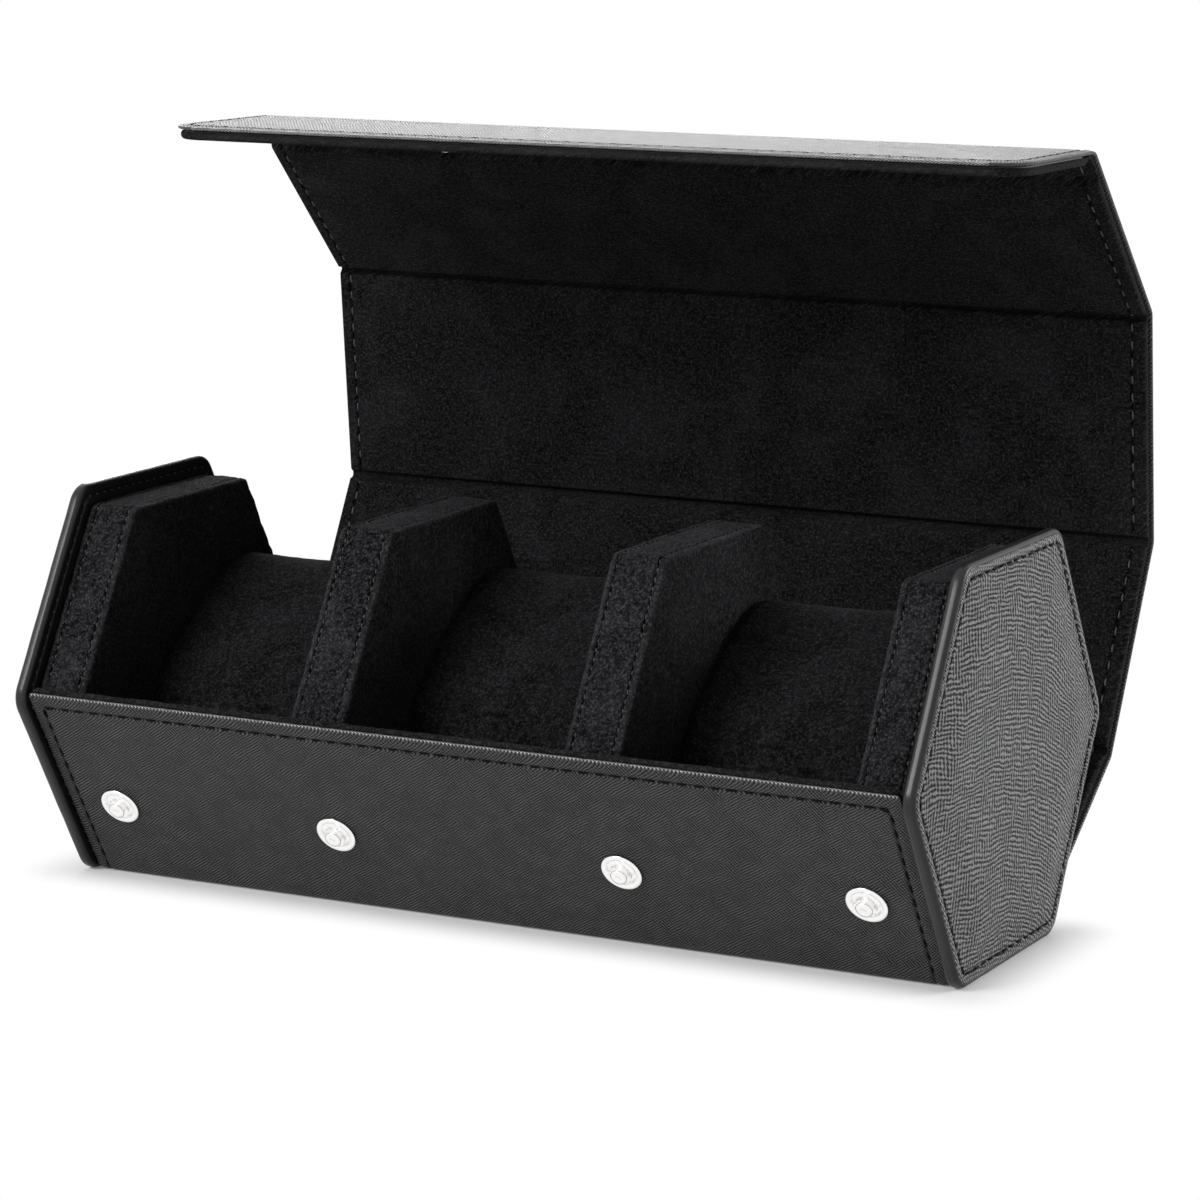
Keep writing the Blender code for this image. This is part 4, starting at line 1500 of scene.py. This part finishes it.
class MakeStuds(bpy.types.Operator):
    """Make the press studs on the front panel and their sockets in the flap"""

    bl_idname = "roll_case.studs"
    bl_label = "Press Studs"

    def execute(self, context):
        for number in range(1, 5):
            low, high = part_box(f"stud_{number}")
            self.make_stud(number, (low.x + high.x) / 2)
            self.make_socket(number, (low.x + high.x) / 2)
        return {"FINISHED"}

    def make_stud(self, number, x):
        shape = [(1.55, -1.2), (1.55, 0.12), (4.55, 0.12), (4.74, 0.17), (4.80, 0.32), (4.80, 0.45),
                 (4.72, 0.62), (4.55, 0.74), (4.32, 0.80), (4.05, 0.79), (3.80, 0.73),
                 (3.60, 0.66), (3.48, 0.60), (3.38, 0.60), (3.28, 0.68), (3.16, 0.80), (3.0, 0.90),
                 (2.8, 0.96), (2.6, 0.95), (2.42, 0.88), (2.28, 0.76), (2.12, 0.68), (1.8, 0.64),
                 (1.52, 0.66), (1.42, 0.78), (1.40, 1.0), (1.42, 1.25), (1.55, 1.45), (1.78, 1.6),
                 (1.92, 1.76), (1.96, 1.95), (1.90, 2.14), (1.74, 2.30), (1.5, 2.41), (1.2, 2.47),
                 (0.9, 2.48), (0.68, 2.44), (0.52, 2.36), (0.34, 2.30), (0.14, 2.28)]
        point = front_point(FRONT_APOTHEM, STUD_DOWN)
        place = Vector((x, point.x, point.y))
        axis = Vector((0.0, FRONT_LOWER.x, FRONT_LOWER.y))
        profile = [(radius * MM, height * MM) for radius, height in shape]
        stud = turned_piece(f"stud_{number}_plate", profile, place, axis, 6, 0.22 * MM)
        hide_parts(f"stud_{number}")
        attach(stud, "base")

    def make_socket(self, number, x):
        shape = [(2.3, -0.2), (2.3, 0.62), (2.36, 0.86), (2.52, 1.02), (2.75, 1.10), (3.0, 1.09),
                 (3.25, 1.0), (3.45, 0.86), (3.6, 0.78), (3.8, 0.78), (4.05, 0.82), (4.3, 0.78),
                 (4.52, 0.66), (4.66, 0.48), (4.70, 0.28), (4.66, 0.1), (4.5, 0.0), (3.1, 0.0),
                 (3.1, -0.2)]
        along = FOLD_MARKS[-1] + self.socket_along()
        place = COURSE.at(x, along, SOCKET_SEAT)
        profile = [(radius * MM, height * MM) for radius, height in shape]
        ring = turned_piece(f"socket_{number}_ring", profile, place, COURSE.up(along))
        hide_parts(f"socket_{number}")
        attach(ring, f"cover_{len(FOLD_MARKS)}")

    def socket_along(self):
        """How far the sockets lie from the flap's fold, from where their CAD pieces are."""
        low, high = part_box("socket_1")
        middle = Vector(((low.y + high.y) / 2, (low.z + high.z) / 2))
        return (middle - FOLD_POINTS[-1]).dot(direction(sum(FOLD_ANGLES)))


class FinishBoards(bpy.types.Operator):
    """Give the stiffening boards inside the sheets their pulp finish"""

    bl_idname = "roll_case.boards"
    bl_label = "Stiffening Boards"

    def execute(self, context):
        for name, node in frame["nodes"].items():
            if name.endswith("_board"):
                for number in range(len(node.data.materials)):
                    node.data.materials[number] = grey_board()
        return {"FINISHED"}


def make_floor_finish(colour):
    """Pale floor that keeps the case's shadow and fades to plain white away from it."""
    finish = Finish("pale_floor")
    geometry = finish.node("ShaderNodeNewGeometry")
    x, y, _ = finish.parts(geometry.outputs["Position"])
    beside = (x.size() - HALF_LENGTH).larger(0.0)
    before = (y.size() - FOOT_HALF).larger(0.0)
    far = ((beside * beside + before * before) ** 0.5).step(-0.004, FOOT_SHADOW)
    path = finish.node("ShaderNodeLightPath")
    seen = (Level(finish, path.outputs["Is Camera Ray"])
            + Level(finish, path.outputs["Is Glossy Ray"]))
    white = finish.node("ShaderNodeEmission", None, {"Color": (1, 1, 1, 1), "Strength": 1.0})
    finish.on_shader(Base_Color=(*colour, 1.0), Roughness=0.9, Specular_IOR_Level=0.1)
    mix = finish.node("ShaderNodeMixShader", None, {
        0: far * seen.smaller(1.0), 1: finish.shader.outputs[0], 2: white.outputs[0]})
    output = finish.tree.nodes["Material Output"]
    finish.plug(output.inputs["Surface"], mix.outputs[0])
    return finish.material


class MakeStage(bpy.types.Operator):
    """Make the floor, the soft light and the camera"""

    bl_idname = "roll_case.stage"
    bl_label = "Stage"

    def execute(self, context):
        scene = context.scene
        scene.view_settings.view_transform = "Standard"
        self.make_floor(scene.roll_case_colours.floor)
        self.make_sky(scene)
        self.make_lamp("soft_front", (-0.55, -1.0, 0.85), (0.0, 0.0, 0.05), 0.55, 12.5)
        self.make_lamp("soft_right", (0.88, 0.68, 0.30), (0.11, 0.0, 0.05), 0.45, 10.0)
        self.make_lamp("soft_back", (-0.62, 1.15, 0.42), (0.0, 0.0, 0.12), 0.6, 6.5)
        self.make_camera(scene)
        return {"FINISHED"}

    def make_floor(self, colour):
        mesh = bpy.data.meshes.new("floor")
        corners = [(x, y, 0.0) for x, y in ((-9, -4), (9, -4), (9, 16), (-9, 16))]
        mesh.from_pydata(corners, [], [(0, 1, 2, 3)])
        mesh.materials.append(make_floor_finish(colour))
        floor = bpy.data.objects.new("floor", mesh)
        bpy.context.scene.collection.objects.link(floor)

    def make_sky(self, scene):
        world = bpy.data.worlds.new("white_studio")
        world.use_nodes = True
        scene.world = world
        sky = Nodes(world.node_tree)
        lit = sky.tree.nodes["Background"]
        sky.plug(lit.inputs["Color"], (1, 1, 1, 1))
        sky.plug(lit.inputs["Strength"], 0.32)
        white = sky.node("ShaderNodeBackground", None, {"Color": (1, 1, 1, 1), "Strength": 1.0})
        path = sky.node("ShaderNodeLightPath").outputs
        seen = Level(sky, path["Is Camera Ray"]) + Level(sky, path["Is Glossy Ray"])
        mix = sky.node("ShaderNodeMixShader", None, {
            0: seen.smaller(1.0), 1: lit.outputs[0], 2: white.outputs[0]})
        sky.plug(sky.tree.nodes["World Output"].inputs["Surface"], mix.outputs[0])

    def make_lamp(self, name, place, target, size, power):
        light = bpy.data.lights.new(name, "AREA")
        light.shape = "SQUARE"
        light.size = size
        light.energy = power
        lamp = bpy.data.objects.new(name, light)
        lamp.location = place
        way = Vector(target) - Vector(place)
        lamp.rotation_euler = way.to_track_quat("-Z", "Y").to_euler()
        bpy.context.scene.collection.objects.link(lamp)

    def make_camera(self, scene):
        data = bpy.data.cameras.new("camera")
        data.sensor_width = 36
        data.lens = CAMERA_LENS
        camera = bpy.data.objects.new("camera", data)
        yaw, pitch, roll = CAMERA_TURN
        turn = Matrix.Rotation(yaw, 3, "Z") @ Matrix.Rotation(pi / 2 - pitch, 3, "X")
        turn = turn @ Matrix.Rotation(roll, 3, "Z")
        camera.rotation_euler = turn.to_euler()
        camera.location = CAMERA_PLACE * 2 * APOTHEM
        scene.collection.objects.link(camera)
        scene.camera = camera


class RollCasePanel(bpy.types.Panel):
    """Buttons that make the case, in order"""

    bl_idname = "VIEW3D_PT_roll_case"
    bl_label = "Roll Case"
    bl_space_type = "VIEW_3D"
    bl_region_type = "UI"
    bl_category = "Roll Case"

    def draw(self, context):
        layout = self.layout
        for operator in OPERATORS:
            layout.operator(operator.bl_idname)
        for group in (context.scene.roll_case_sizes, context.scene.roll_case_colours):
            column = layout.column()
            for name in group.__annotations__:
                column.prop(group, name)


OPERATORS = [MakeCaps, MakeBlocks, MakeBase, MakeCover, MakeBayLinings, MakePillows, MakeStuds,
             FinishBoards, MakeStage]
CLASSES = [RollCaseSizes, RollCaseColours, *OPERATORS, RollCasePanel]


def register():
    for kind in CLASSES:
        bpy.utils.register_class(kind)
    bpy.types.Scene.roll_case_sizes = PointerProperty(type=RollCaseSizes)
    bpy.types.Scene.roll_case_colours = PointerProperty(type=RollCaseColours)


def unregister():
    del bpy.types.Scene.roll_case_sizes
    del bpy.types.Scene.roll_case_colours
    for kind in reversed(CLASSES):
        bpy.utils.unregister_class(kind)


def main():
    register()
    bpy.ops.roll_case.stage()
    bpy.ops.roll_case.caps()
    bpy.ops.roll_case.blocks()
    bpy.ops.roll_case.base()
    bpy.ops.roll_case.cover()
    bpy.ops.roll_case.bays()
    bpy.ops.roll_case.pillows()
    bpy.ops.roll_case.studs()
    bpy.ops.roll_case.boards()


if __name__ == "__main__":
    main()
